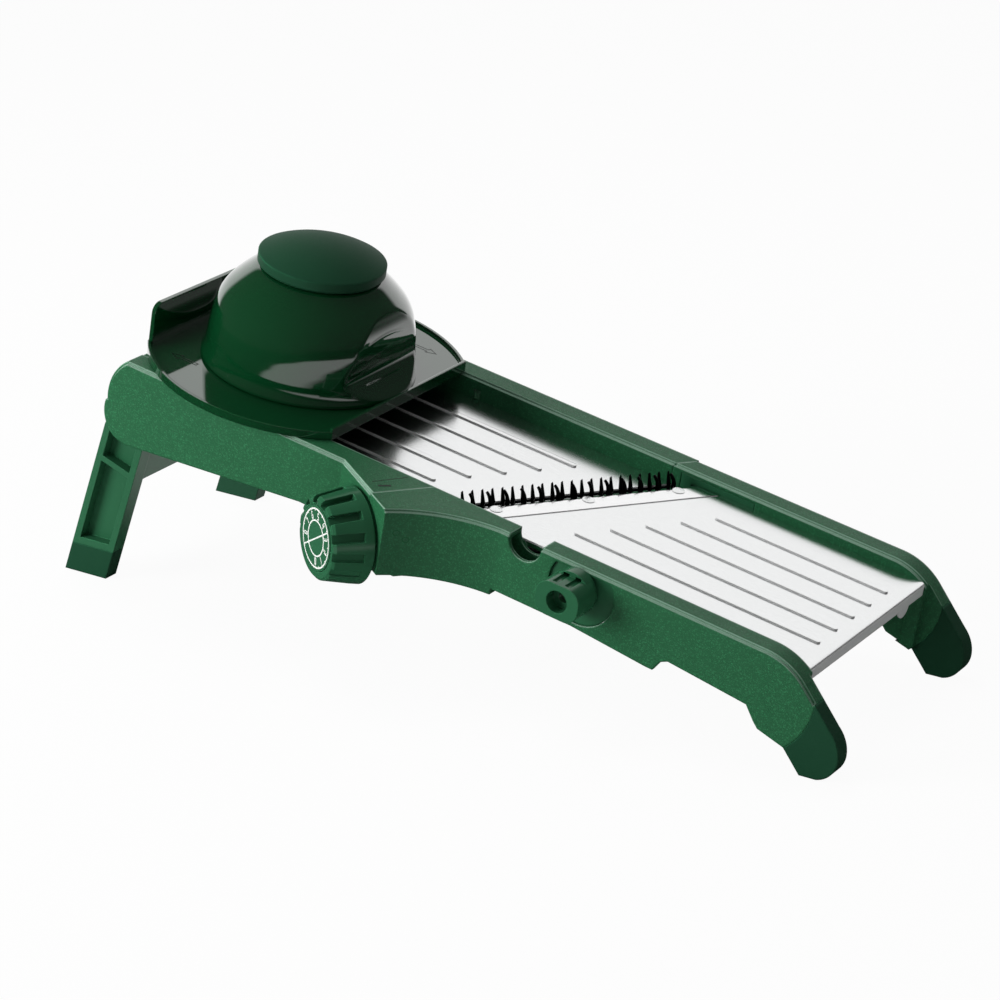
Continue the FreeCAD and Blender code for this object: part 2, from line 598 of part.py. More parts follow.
def make_upper_rail(label, side):
    """Hollow rail at the operator's end, with an ear for the stand and slots for the deck's pins."""
    body = new_body(label)
    straight_end = "crease_x" if side < 0 else "seam_w + slope * runway_half - 8"
    pad(body, "XZ", [upper_outline(straight_end)], *across(side, "runway_half", "upper_half_width"))
    if side < 0:
        housing = [("crease_x - 4", "-upper_half_width"), ("crease_x", "-upper_half_width"),
                   ("face_seam_x", "face_seam_y"), ("seam_w - slope * runway_half", "-runway_half"),
                   ("crease_x - 4", "-runway_half")]
        pad(body, "XY", [housing], "housing_bottom", "rail_top")
        hollow = [("crease_x + 1", "-upper_half_width + housing_wall"),
                  ("face_seam_x - housing_wall", "face_seam_y + housing_wall * (1 + slope * 1.5)"),
                  ("seam_w - slope * chan_in - 1.5 * housing_wall", "-chan_in"),
                  ("crease_x + 1", "-chan_in")]
        pocket(body, "XY", [hollow], "housing_bottom - 1", "strip_low")
    else:
        shoulder = [(f"{straight_end} - 1", "runway_half"), ("seam_w + slope * runway_half", "runway_half"),
                    ("seam_w + slope * upper_half_width", "upper_half_width"),
                    (f"{straight_end} - 1", "upper_half_width")]
        pad(body, "XY", [shoulder], "rail_bottom", "rail_top")
    hollow_end = "crease_x - 6" if side < 0 else "dial_w + slope * runway_half - 14"
    channel = [("rear_x - 2", "rear_bottom - 2"), (hollow_end, "rear_bottom - 2"),
               (hollow_end, "strip_low"),
               ("rear_x + 9", "strip_low"), ("rear_x + rail_wall", "-8"),
               ("rear_x + rail_wall", "pivot_z + 4"),
               ("rear_x - 2", "pivot_z + 4")]
    pocket(body, "XZ", [channel], *across(side, "chan_in", "upper_chan_out"))
    skirt = [("pivot_x + ear_radius", "rear_bottom - 2"), (hollow_end, "rear_bottom - 2"),
             (hollow_end, "inner_skirt"), ("pivot_x + ear_radius", "inner_skirt")]
    pocket(body, "XZ", [skirt], *across(side, "runway_half - 1", "chan_in"))
    behind_ear = [("rear_x - 1", "rear_bottom - 2"), ("pivot_x + ear_radius + 1", "rear_bottom - 2"),
                  ("pivot_x + ear_radius + 1", "pivot_z - ear_radius"),
                  ("rear_x - 1", "pivot_z - ear_radius")]
    pocket(body, "XZ", [behind_ear], *across(side, "runway_half - 1", "chan_in"))
    pocket(body, "XZ", [("pivot_x", "pivot_z", "pin_radius + fit / 2")], *across(side, "runway_half - 1",
           "chan_in"))
    for guide in ("guide_rear_x", "guide_front_x"):
        half = "(guide_pin_radius + room)"
        slot = box_loop(f"{guide} - {half}", f"{guide} + {half}", "rear_bottom",
                        "guide_z + slice_rest - slice_least + guide_pin_radius + bite")
        pocket(body, "XZ", [slot], *across(side, "runway_half - 1", "chan_in"))
    edge_end = "crease_x" if side < 0 else "seam_w + slope * upper_half_width"
    edge = [(edge_end, "rail_top - rebate_depth"), (edge_end, "rail_top + 1"),
            ("rear_x - 1", "rail_top + 1"),
            ("rear_x - 1", "end_z"), ("rear_x + rebate_depth", "end_z", "-(end_round - rebate_depth)"),
            ("rear_x + end_run + rebate_depth / 2", "rail_top - rebate_depth")]
    rebate_edge(body, side, "upper_half_width", edge)
    if side < 0:
        past_y = "face_seam_y - 3 * slope"
        turned = [("crease_x", "-upper_half_width - 1"), ("face_seam_x + 3", f"{past_y} - 1"),
                  ("face_seam_x + 3", f"{past_y} + rebate_width / cos(blade_angle)"),
                  ("crease_x", "-upper_half_width + rebate_width")]
        pocket(body, "XY", [turned], "rail_top - rebate_depth", "rail_top + 1")
    return body


def make_near_upper_rail():
    """Upper rail on the dial side: the bore for the dial's bush is square to its angled face."""
    body = make_upper_rail("near_upper_rail", -1)
    bore_shaft(body, "bush_radius", "-bush_depth", "1")
    bore_shaft(body, "shaft_radius + 10 * fit", "-shaft_far / 3", "-bush_depth + 1")


def bore_shaft(body, radius, start, end):
    """A bore along the dial's axis, between two distances along that axis."""
    tool = doc.addObject("PartDesign::SubtractiveCylinder", "bore")
    body.addObject(tool)
    place = BENCH.inverse().multiply(DIAL)
    place.Base = place.multVec(FreeCAD.Vector(0, 0, value(start)))
    bind(tool, "Radius", radius)
    bind(tool, "Height", f"({end}) - ({start})")
    tool.Placement = place
    before = body.Shape.Volume
    doc.recompute()
    if body.Shape.Volume >= before:
        raise RuntimeError(f"the bore of {body.Label} cuts nothing")


def make_far_upper_rail():
    """Upper rail on the far side, with a blind bearing for the far end of the dial shaft."""
    body = make_upper_rail("far_upper_rail", 1)
    bore_shaft(body, "shaft_radius + fit", "-shaft_far - 2 * play", "-shaft_far + 3 * bearing_depth")


def lower_outline(start_x):
    """Side outline of a lower rail, from a given x to the joint with its soft foot."""
    return [(start_x, "rail_top"), (start_x, "rail_bottom"), ("step_x - 40", "rail_bottom"),
            ("step_x", "step_z"), ("step_x + step_run", "step_z"), ("arch_rear_x", "arch_z - step_run / 2"),
            ("arch_rear_x + step_run", "arch_z"), ("arch_front_x", "arch_z - arch_fall"),
            ("heel_x - heel_soft", "heel_z + heel_soft"),
            ("heel_x", "heel_z"), ("foot_root_x", "foot_root_z", "foot_joint"),
            ("shoulder_x", "shoulder_z"),
            ("fall_x", "fall_z", "front_fall"), ("front_top_x", "rail_top")]


def make_lower_rail(label, side):
    """Hollow rail at the front end, with a ledge for the runway and a shelf for the blade bar."""
    body = new_body(label)
    seam = "seam_w + seam_gap / cos(blade_angle)"
    straight_start = "flare_end_x - 14" if side < 0 else f"{seam} + slope * half_width"
    pad(body, "XZ", [lower_outline(straight_start)], *across(side, "runway_half", "half_width"))
    if side < 0:
        gap_x = "face_seam_x + seam_gap * cos(blade_angle)"
        gap_y = "face_seam_y - seam_gap * sin(blade_angle)"
        flare = [(gap_x, gap_y), ("corner_x", "corner_y", "-flare_radius"), ("flare_end_x", "-half_width"),
                 ("flare_end_x", "-runway_half"), (f"{seam} - slope * runway_half", "-runway_half")]
        pad(body, "XY", [flare], "housing_bottom", "rail_top")
        keel_seam = "seam_w - slope * (half_width - housing_wall) + 1"
        keel = [("keel_x", "housing_bottom - seam_gap"), ("keel_x", "keel_z"), ("keel_x + 4", "keel_z"),
                ("keel_end_x", "housing_bottom + 1"), (keel_seam, "housing_bottom + 1"),
                (keel_seam, "housing_bottom - seam_gap")]
        pad(body, "XZ", [keel], "-half_width", "-half_width + housing_wall")
        hollow = [("face_seam_x + 2.2 * housing_wall", "face_seam_y + 0.6 * housing_wall"),
                  ("corner_x + 0.4 * housing_wall", "corner_y + 2.4 * housing_wall"),
                  ("corner_x + 7 * housing_wall", "-chan_out - 4"), ("flare_end_x - 5", "-chan_out"),
                  ("flare_end_x - 5", "-chan_in"),
                  (f"{seam} - slope * chan_in + 1.5 * housing_wall", "-chan_in")]
        pocket(body, "XY", [hollow], "housing_bottom - 1", "strip_low")
        notch = [("notch_x - notch_radius", "rail_top + 1"),
                 ("notch_x - notch_radius", "notch_z", "notch_radius"),
                 ("notch_x", "notch_z - notch_radius", "notch_radius"),
                 ("notch_x + notch_radius", "notch_z"),
                 ("notch_x + notch_radius", "rail_top + 1")]
    else:
        stub = [(f"{seam} + slope * runway_half", "runway_half"), (f"{straight_start} + 1", "runway_half"),
                (f"{straight_start} + 1", "half_width"), (f"{seam} + slope * half_width", "half_width")]
        pad(body, "XY", [stub], "rail_bottom", "rail_top")
    hollow_start = "flare_end_x + 2" if side < 0 else f"{straight_start} + 3"
    channel = box_loop(hollow_start, "arch_front_x", "rail_bottom - 9", "strip_low")
    pocket(body, "XZ", [channel], *across(side, "chan_in", "chan_out"))
    skirt = box_loop(hollow_start, "heel_x + 8", "rail_bottom - 9", "inner_skirt")
    pocket(body, "XZ", [skirt], *across(side, "runway_half - 1", "chan_in"))
    low, high = across(side, "ledge_in", "runway_half + bite")
    ledge_start = f"runway_start_w + slope * {low if side < 0 else high} + 3"
    pad(body, "XY", [box_loop(ledge_start, "front_top_x", low, high)], "-sheet - ledge_thick", "-sheet")
    low, high = across(side, "runway_half - shelf_width", "runway_half + bite")
    shelf_start = f"bar_w + slope * {low} - 1"
    shelf_end = f"blade_end_w + slope * {high} + 1"
    pad(body, "XY", [box_loop(shelf_start, shelf_end, low, high)], "bar_low - shelf_thick", "bar_low")
    for tie in ("tie_rear_x", "tie_front_x"):
        hole = (f"{tie} + tie_width / 2", "tie_screw_z", "screw_radius + fit")
        pocket(body, "XZ", [hole], *across(side, "runway_half - 1", "chan_in"))
    if side < 0:
        pocket(body, "XZ", [notch], "-half_width - 2", "-runway_half + 1")
        shaft_hole = ("knob_x", "knob_z", "crank_radius + fit")
        pocket(body, "XZ", [shaft_hole], "-half_width - 2", "-ledge_in + 1")
        pocket(body, "XZ", [plate_loop("plate_radius")], "-half_width - 1", "-chan_out")
    else:
        window = box_loop("insert_start_x", "insert_end_x", "insert_low", "strip_low - bite")
        pocket(body, "XZ", [window], "runway_half - 1", "runway_half + insert_depth")
    inside = box_loop("leg_x", "foot_nose_x", "heel_z - leg_width", "rail_top + 1")
    pocket(body, "XZ", [inside], *across(side, "runway_half - 1", "half_width - front_leg"))
    edge_start = "flare_end_x" if side < 0 else f"{seam} + slope * runway_half - 1"
    drop = "rebate_depth * cos(45)"
    edge = [(edge_start, "rail_top - rebate_depth"),
            ("front_top_x", "rail_top - rebate_depth", "-(front_fall - rebate_depth)"),
            (f"fall_x - {drop}", f"fall_z - {drop}"), (f"shoulder_x - {drop}", f"shoulder_z - {drop}"),
            (f"shoulder_x + {drop}", f"shoulder_z + {drop}"), (f"shoulder_x + {drop}", "rail_top + 1"),
            (edge_start, "rail_top + 1")]
    rebate_edge(body, side, "half_width", edge)
    if side < 0:
        curve = [("corner_x - 2 * rebate_width", "corner_y - rebate_width",
                 "-(flare_radius + rebate_width)"),
                 ("flare_end_x", "-half_width + rebate_width"),
                 ("flare_end_x", "-half_width - flange_radius"),
                 ("corner_x", "corner_y - flange_radius")]
        pocket(body, "XY", [curve], "rail_top - rebate_depth", "rail_top + 1")
    return body


def make_front_foot(label, side):
    """Soft foot moulded round the front end of a lower rail, with a flat sole on the table."""
    body = new_body(label)
    outline = [("shoulder_x", "shoulder_z", "-foot_joint"), ("foot_root_x", "foot_root_z"),
               ("foot_sole_rear_x", "sole_rear_z"), ("foot_sole_front_x", "sole_front_z", "foot_toe"),
               ("foot_nose_x", "foot_nose_z", "foot_brow"), ("brow_x", "brow_z")]
    pad(body, "XZ", [outline], *across(side, "half_width - front_leg", "half_width"))


def make_rear_handle():
    """Rounded bar between the rails at the operator's end."""
    body = new_body("rear_handle")
    outline = [("handle_rear_x + 2", "handle_low"), ("handle_front_x", "handle_low"),
               ("handle_front_x", "handle_top - 3", "3"), ("handle_front_x - 3", "handle_top"),
               ("handle_rear_x + 9", "handle_top", "handle_roll"), ("handle_rear_x", "handle_low + 3", "4")]
    pad(body, "XZ", [outline], "-runway_half", "runway_half")


def make_beads(body, start, end, top):
    """Five pressed ribs along a runway; start and end are texts with a place for y."""
    for step in range(-2, 3):
        y = f"({step} * bead_pitch)"
        half = "bead_width / 2"
        first, last = start.format(y=y), end.format(y=y)
        loop = [(first, f"{y} - {half}"), (last, f"{y} - {half}", half), (f"{last} + {half}", y, half),
                (last, f"{y} + {half}"), (first, f"{y} + {half}", half), (f"{first} - {half}", y, half)]
        pad(body, "XY", [loop], f"{top} - sheet / 2", f"{top} + bead_rise")


def make_lower_runway():
    """Ribbed steel sheet from the blade to the front, with a turned-down lip and a locating tab."""
    body = new_body("lower_runway")
    flat_end = "runway_end_x - lip_bend"
    plan = [("runway_start_w - slope * sheet_half", "-sheet_half"), (flat_end, "-sheet_half"),
            (flat_end, "sheet_half"), ("runway_start_w + slope * sheet_half", "sheet_half")]
    pad(body, "XY", [plan], "-sheet", "0")
    lip = [(f"{flat_end} - 1", "0"), (f"{flat_end} - 1", "-sheet"),
           (flat_end, "-sheet", "-(lip_bend - sheet)"),
           ("runway_end_x - sheet", "-lip_bend"), ("runway_end_x - sheet", "-lip_drop"),
           ("runway_end_x", "-lip_drop"), ("runway_end_x", "-lip_bend", "lip_bend"), (flat_end, "0")]
    pad(body, "XZ", [lip], "-sheet_half", "sheet_half")
    tab = [("tab_y - tab_radius", "-lip_drop + 1"), ("tab_y - tab_radius", "-lip_drop", "tab_radius"),
           ("tab_y", "-lip_drop - tab_radius", "tab_radius"), ("tab_y + tab_radius", "-lip_drop"),
           ("tab_y + tab_radius", "-lip_drop + 1")]
    pad(body, "YZ", [tab], "runway_end_x - sheet", "runway_end_x")
    make_beads(body, "bead_start_w + slope * {y}", "bead_end_x", "0")


def make_deck_plate():
    """Ribbed steel sheet that carries the food to the blade."""
    body = new_body("deck_plate")
    plan = [("deck_rear_x", "-deck_half"), ("deck_end_w - slope * deck_half", "-deck_half"),
            ("deck_end_w + slope * deck_half", "deck_half"), ("deck_rear_x", "deck_half")]
    pad(body, "XY", [plan], "deck_low", "deck_top")
    make_beads(body, "deck_bead_start_x", "deck_bead_end_w + slope * {y}", "deck_top")


def make_deck_carrier():
    """Moulded plate under the deck, with pads for the cams and holes for the guide pins."""
    body = new_body("deck_carrier")
    plan = [("deck_rear_x + 1", "-deck_half"), ("deck_end_w - slope * deck_half - 1", "-deck_half"),
            ("deck_end_w + slope * deck_half - 1", "deck_half"), ("deck_rear_x + 1", "deck_half")]
    pad(body, "XY", [plan], "carrier_low", "deck_low")
    for y in ("cam_near_y", "cam_far_y"):
        x = f"(dial_w + slope * {y})"
        half = "follower_size / 2"
        loop = box_loop(f"{x} - {half}", f"{x} + {half}", f"{y} - {half}", f"{y} + {half}")
        pad(body, "XY", [loop], "pad_low", "carrier_low + 1")
    for side in (-1, 1):
        for guide in ("guide_rear_x", "guide_front_x"):
            hole = (guide, "guide_z", "guide_pin_radius + fit / 2")
            pocket(body, "XZ", [hole], *across(side, "deck_half - 8", "deck_half + 1"))


def make_guide_pins():
    """Four pins that keep the deck level in the slots of the rails."""
    pins = []
    for side in (-1, 1):
        low = across(side, "deck_half - 8", "chan_in - play")[0]
        for guide in ("guide_rear_x", "guide_front_x"):
            pins.append(cylinder("guide_pin", "guide_pin_radius", "chan_in - play - deck_half + 8",
                                 guide, low, "guide_z", "Y"))
    group("deck_guide_pins", pins)


def make_dial():
    """Fluted dial: a tapered shell with a hub and a seat for its disc."""
    body = new_body("thickness_dial", DIAL)
    profile = [("shaft_radius + fit / 2", "dial_gap"), ("dial_hub", "dial_gap"),
               ("dial_hub", "dial_length - 2 * dial_wall"),
               ("dial_front - dial_wall", "dial_length - 2 * dial_wall"),
               ("dial_back - dial_wall - flute_depth", "dial_gap"), ("dial_back - 1", "dial_gap"),
               ("dial_back", "dial_gap + 1"), ("dial_back - dial_step", "dial_gap + dial_band"),
               ("dial_front + dial_step", "dial_length - 2 * dial_step"),
               ("dial_front - dial_step", "dial_length"),
               ("badge_radius + play", "dial_length"), ("badge_radius + play", "dial_length - badge_thick"),
               ("shaft_radius + fit / 2", "dial_length - badge_thick")]
    revolve(body, [profile])
    flute = [("dial_back - dial_step - flute_depth", "dial_gap + dial_band"),
             ("dial_back + 2", "dial_gap + dial_band"),
             ("dial_back + 2", "dial_length + 1"), ("dial_front - flute_depth", "dial_length + 1")]
    cut = pocket(body, "XZ", [flute], "-flute_half", "flute_half")
    pattern = body.newObject("PartDesign::PolarPattern", "flutes")
    pattern.Originals = [cut]
    pattern.Axis = (cut.Profile[0], ["V_Axis"])
    pattern.Angle = 360
    bind(pattern, "Occurrences", "flute_count")
    body.Tip = pattern
    doc.recompute()


def make_dial_disc():
    """Printed disc set in the front of the dial."""
    body = new_body("dial_disc", DIAL)
    pad(body, "XY", [("0", "0", "badge_radius")], "dial_length - badge_thick", "dial_length + room")


def make_dial_shaft():
    """Steel shaft from the dial to its bearing in the far rail."""
    body = new_body("dial_shaft", DIAL)
    pad(body, "XY", [("0", "0", "shaft_radius")], "-shaft_far", "dial_length - badge_thick")


def make_dial_bush():
    """Flanged bush in the wall behind the dial."""
    body = new_body("dial_bush", DIAL)
    bore = "shaft_radius + fit"
    profile = [(bore, "0"), (bore, "-bush_depth"), ("bush_radius - fit", "-bush_depth"),
               ("bush_radius - fit", "0")]
    revolve(body, [profile])


def make_cams():
    """Snail cams that lift the deck evenly as the dial turns."""
    reach = value("turn_range") / (value("slice_most") - value("slice_least"))
    top = 90
    start = top - (value("slice_rest") - value("slice_least")) * reach
    least, most = value("cam_least"), value("cam_most")
    steps = 24
    points = []
    for step in range(steps + 1):
        angle = math.radians(start + value("turn_range") * step / steps)
        radius = most + (least - most) * step / steps
        points.append(FreeCAD.Vector(radius * math.cos(angle), radius * math.sin(angle), 0))
    spiral = Part.BSplineCurve()
    spiral.interpolate(points)
    outline = Part.Wire([spiral.toShape(), Part.LineSegment(points[-1], points[0]).toShape()])
    bore = Part.Face(Part.Wire(Part.makeCircle(value("shaft_radius + fit / 2"))))
    snail = Part.Face(outline).cut(bore)
    cams = []
    for name in ("cam_near_y", "cam_far_y"):
        middle = -(value(name) - value("face_y")) / math.cos(math.radians(value("blade_angle")))
        cam = snail.extrude(FreeCAD.Vector(0, 0, value("cam_thick")))
        cam.translate(FreeCAD.Vector(0, 0, middle - value("cam_thick") / 2))
        cams.append(cam)
    obj = doc.addObject("Part::Feature", "lift_cams")
    obj.Shape = Part.makeCompound(cams)
    keep(obj, "lift_cams", DIAL)


def rivet_places():
    """Cross distances of the rivets."""
    return [f"({step} * rivet_pitch)" for step in (-1, 0, 1)]


def make_blade():
    """Slicing blade with a ground edge and rivet holes."""
    body = new_body("slicing_blade")
    pad(body, "XY", [diagonal_loop("blade_w", "blade_end_w", "-blade_half", "blade_half")],
        "-blade_thick", "0")
    lead = value("blade_w")
    slope = value("slope")

    def leading_top(edge):
        middle = edge.CenterOfMass
        return abs(middle.z) < 1e-6 and abs(middle.x - slope * middle.y - lead) < 1e-4

    bevel = bevel_edges(body, "edge_depth", leading_top)
    bevel.ChamferType = "Two distances"
    bind(bevel, "Size2", "edge_width")
    doc.recompute()
    for y in rivet_places():
        pocket(body, "XY", [(f"rivet_w + slope * {y}", y, "rivet_shank + fit")], "-blade_thick - 1", "1")


def make_blade_bar():
    """Moulded bar that carries the blade from rail to rail."""
    body = new_body("blade_bar")
    pad(body, "XY", [diagonal_loop("bar_w", "blade_end_w", "-sheet_half", "sheet_half")],
        "bar_low", "-blade_thick")
    for y in rivet_places():
        pocket(body, "XY", [(f"rivet_w + slope * {y}", y, "rivet_shank + fit")], "bar_low - 1", "0")
    for y in ("-guide_y", "guide_y"):
        hole = (f"guide_w + slope * ({y})", y, "guide_radius + fit / 2")
        pocket(body, "XY", [hole], "bar_low - 1", "-blade_thick - 1")


def make_rivets():
    """Rivets through the blade and its bar."""
    rivets = []
    for y in rivet_places():
        x = f"rivet_w + slope * {y}"
        head = cylinder("rivet_head", "rivet_head", "rivet_rise", x, y, "0")
        shank = cylinder("rivet_shank", "rivet_shank", "rivet_rise / 2 - bar_low", x, y, "bar_low")
        rivets.append(fuse("rivet", [head, shank]))
    group("blade_rivets", rivets)


def make_comb(label, strip_w, count, pitch, fin):
    """Steel strip along the blade line with a row of upright cutters, one pattern of one fin."""
    body = new_body(label)
    pad(body, "XY", [diagonal_loop(strip_w, f"{strip_w} + strip_depth", "-comb_half", "comb_half")],
        "carriage_top", "comb_top")
    first_y = f"(-{pitch} * ({count} - 1) / 2)"
    first_x = f"({strip_w} + slope * {first_y})"
    loop = [(f"{first_x} + {corner[0]}",) + corner[1:] for corner in fin]
    cutter = pad(body, "XZ", [loop], f"{first_y} - cutter_thick / 2", f"{first_y} + cutter_thick / 2")
    line = body.newObject("Sketcher::SketchObject", "row_line")
    line.AttachmentSupport = [(plane_of(body, "XY"), "")]
    line.MapMode = "FlatFace"
    way = FreeCAD.Vector(value("slope"), 1, 0)
    line.addGeometry(Part.LineSegment(FreeCAD.Vector(), way), True)
    pin_point(line, 0, 1, "0", "0")
    pin_point(line, 0, 2, "slope", "1")
    doc.recompute()
    pattern = body.newObject("PartDesign::LinearPattern", "row")
    pattern.Originals = [cutter]
    pattern.Direction = (line, ["Axis0"])
    bind(pattern, "Length", f"{pitch} * ({count} - 1) / cos(blade_angle)")
    bind(pattern, "Occurrences", count)
    body.Tip = pattern
    doc.recompute()


def make_fine_comb():
    """Fine teeth with points that lean up the slope."""
    widest = "comb_top + tooth_root"
    fin = [("room", "comb_top - bite"), ("strip_depth - room", "comb_top - bite"),
           ("strip_depth + tooth_tip / 2", widest), ("-tooth_lean + bite", "cutter_rise"),
           ("-tooth_lean", "cutter_rise - tooth_tip"), ("-bite", widest)]
    make_comb("julienne_comb", "fine_w", "fine_count", "fine_pitch", fin)


def make_fry_comb():
    """Wider fins, hooked up the slope with a hollow under the hook."""
    fin = [("room", "comb_top - bite"), ("strip_depth - room", "comb_top - bite"),
           ("strip_depth + fin_belly", "fin_waist", "fin_back"),
           ("-fin_hook + fin_tip * 2 / 3", "cutter_rise"),
           ("-fin_hook", "cutter_rise - fin_tip", "-fin_hollow"), ("play", "fin_waist")]
    make_comb("fry_comb", "fry_w", "fry_count", "fry_pitch", fin)


def crank_places():
    """Lower and upper y of each crank arm, then of the lug beside it."""
    near_lug = "(crank_near_y - lug_play)"
    far_arm = "(crank_far_y + crank_thick)"
    return [("crank_near_y", "crank_near_y + crank_thick", f"{near_lug} - lug_thick", near_lug),
            ("crank_far_y", far_arm, f"{far_arm} + lug_play", f"{far_arm} + lug_play + lug_thick")]


def make_carriage():
    """Plate that carries both combs, with slotted lugs for the crank pins and holes for its guides."""
    body = new_body("cutter_carriage")
    low = "carriage_top - carriage_thick"
    near_lug, far_lug = [place[2:] for place in crank_places()]
    plan = [("fine_w - slope * comb_half", "-comb_half"), ("fry_w + 14 - slope * comb_half", "-comb_half"),
            ("carriage_end_x", f"{near_lug[0]} - 2"), ("carriage_end_x", f"{far_lug[1]} + 2"),
            ("fry_w + 6 + slope * comb_half", "comb_half"), ("fine_w + slope * comb_half", "comb_half")]
    pad(body, "XY", [plan], low, "carriage_top")
    between = diagonal_loop("fine_w + strip_depth", "fry_w", "-comb_half", "comb_half")
    pad(body, "XY", [between], "carriage_top - 1", "comb_top - strip_depth")
    slot_half = "(crank_pin + slot_play)"
    slot_end = "knob_x - crank_reach - crank_pin - 2 * room"
    for lug_y in (near_lug, far_lug):
        lug = box_loop(f"{slot_end} - lug_thick", "carriage_end_x", "carriage_top - 1",
                       f"lug_z + {slot_half} + 3 * room")
        pad(body, "XZ", [lug], *lug_y)
        slot = box_loop(slot_end, "carriage_end_x + 1", f"lug_z - {slot_half}", f"lug_z + {slot_half}")
        pocket(body, "XZ", [slot], f"{lug_y[0]} - play", f"{lug_y[1]} + play")
    for y in ("-guide_y", "guide_y"):
        hole = (f"guide_w + slope * ({y})", y, "guide_radius + 2 * fit")
        pocket(body, "XY", [hole], f"{low} - 1", "carriage_top + 1")


def make_carriage_guides():
    """Upright pins under the blade bar that keep the carriage square."""
    pins = []
    for y in ("-guide_y", "guide_y"):
        pins.append(cylinder("carriage_guide", "guide_radius", "guide_length", f"guide_w + slope * ({y})",
                    y,
                             "-blade_thick - 1 - guide_length"))
    group("carriage_guides", pins)


def make_crank_shaft():
    """Shaft from the knob, with two arms whose pins lift the carriage."""
    parts = [cylinder("crank_bar", "crank_radius", "crank_end_y + knob_out - knob_hole_depth - 2", "knob_x",
                      "-knob_out + knob_hole_depth + 2", "knob_z", "Y")]
    turn = FreeCAD.Rotation(FreeCAD.Vector(0, 1, 0), -value("crank_start"))
    for arm_low, arm_high, lug_low, lug_high in crank_places():
        arm = doc.addObject("Part::Box", "crank_arm")
        bind(arm, "Length", "crank_arm + crank_pin")
        bind(arm, "Width", "crank_thick")
        bind(arm, "Height", "2 * crank_radius")
        corner = FreeCAD.Vector(-value("crank_arm + crank_pin"), value(arm_low), -value("crank_radius"))
        axis = FreeCAD.Vector(value("knob_x"), 0, value("knob_z"))
        arm.Placement = FreeCAD.Placement(axis + turn.multVec(corner), turn)
        start = f"min({arm_low}; {lug_low}) + play"
        pin = cylinder("crank_pin", "crank_pin", "crank_thick + lug_play + lug_thick - 2 * play",
                       "knob_x - crank_reach", start, "lug_z", "Y")
        parts += [arm, pin]
    keep(fuse("crank_shaft", parts), "crank_shaft")


def make_knob():
    """Knob for the cutters: a ridged grip on a round foot, with a hollow in its face."""
    body = new_body("cutter_knob")
    foot = "-half_width - room"
    pad(body, "XZ", [("knob_x", "knob_z", "flange_radius")], f"{foot} - flange_thick", foot)
    half, tall, corner = "knob_length / 2", "knob_height / 2", "knob_round"
    left, right = f"knob_x - {half}", f"knob_x + {half}"
    low, high = f"knob_z - {tall}", f"knob_z + {tall}"
    grip = [(f"{left} + {corner}", low), (f"{right} - {corner}", low, corner), (right, f"{low} + {corner}"),
            (right, f"{high} - {corner}", corner), (f"{right} - {corner}", high),
            (f"{left} + {corner}", high, corner), (left, f"{high} - {corner}"),
            (left, f"{low} + {corner}", corner)]
    pad(body, "XZ", [grip], "-knob_out", f"{foot} - 2")
    pocket(body, "XZ", [("knob_x", "knob_z", "knob_hole")], "-knob_out - 1", "-knob_out + knob_hole_depth")
    bore = ("knob_x", "knob_z", "crank_radius + fit / 2")
    pocket(body, "XZ", [bore], "-knob_out + knob_hole_depth - 1", f"{foot} + 1")
    for step in (-1, 1):
        middle = f"knob_x + {step} * knob_length / 7"
        groove = [(f"{middle} - knob_groove", f"{high} + 1"), (f"{middle} - knob_groove", f"{high} - 1"),
                  (f"{middle} + knob_groove", f"{high} - 1"), (f"{middle} + knob_groove", f"{high} + 1")]
        pocket(body, "XZ", [groove], "-knob_out + 2", f"{foot} - knob_groove - 1")


def plate_loop(radius):
    """Round outline behind the knob, cut off under the rail's top strip."""
    half = f"sqrt(({radius}) * ({radius}) - plate_rise * plate_rise)"
    return [(f"plate_x - {half}", "strip_low", radius), ("plate_x", f"knob_z - ({radius})", radius),
            (f"plate_x + {half}", "strip_low")]


def make_knob_plate():
    """Smooth round plate behind the knob, sunk in the outer wall of the near rail."""
    body = new_body("knob_plate")
    hole = ("knob_x", "knob_z", "crank_radius + fit")
    pad(body, "XZ", [plate_loop("plate_radius - seam_gap / 2"), hole], "plate_face",
        "plate_face + plate_thick")


def make_tie_bar(label, tie):
    """Bar under the lower runway that ties the rails."""
    body = new_body(label)
    ledge_low = "-sheet - ledge_thick"
    loop = box_loop(tie, f"{tie} + tie_width", "-runway_half", "runway_half")
    pad(body, "XY", [loop], "tie_low", ledge_low)
    upper = box_loop(tie, f"{tie} + tie_width", "-ledge_in + play", "ledge_in - play")
    pad(body, "XY", [upper], f"{ledge_low} - 1", "-sheet")
    for side in (-1, 1):
        hole = (f"{tie} + tie_width / 2", "tie_screw_z", "screw_radius + fit / 2")
        pocket(body, "XZ", [hole], *across(side, "chan_in - screw_length", "runway_half + 1"))
    return body


def make_rear_tie_bar():
    """Tie bar nearest the blade, with a hanger for the crank shaft."""
    body = make_tie_bar("rear_tie_bar", "tie_rear_x")
    hanger = box_loop("hanger_x", "tie_rear_x + 1", "hanger_y", "crank_end_y + 1")
    pad(body, "XY", [hanger], "tie_low", "-sheet - play")
    bore = ("knob_x", "knob_z", "crank_radius + fit")
    pocket(body, "XZ", [bore], "hanger_y - 1", "crank_end_y")


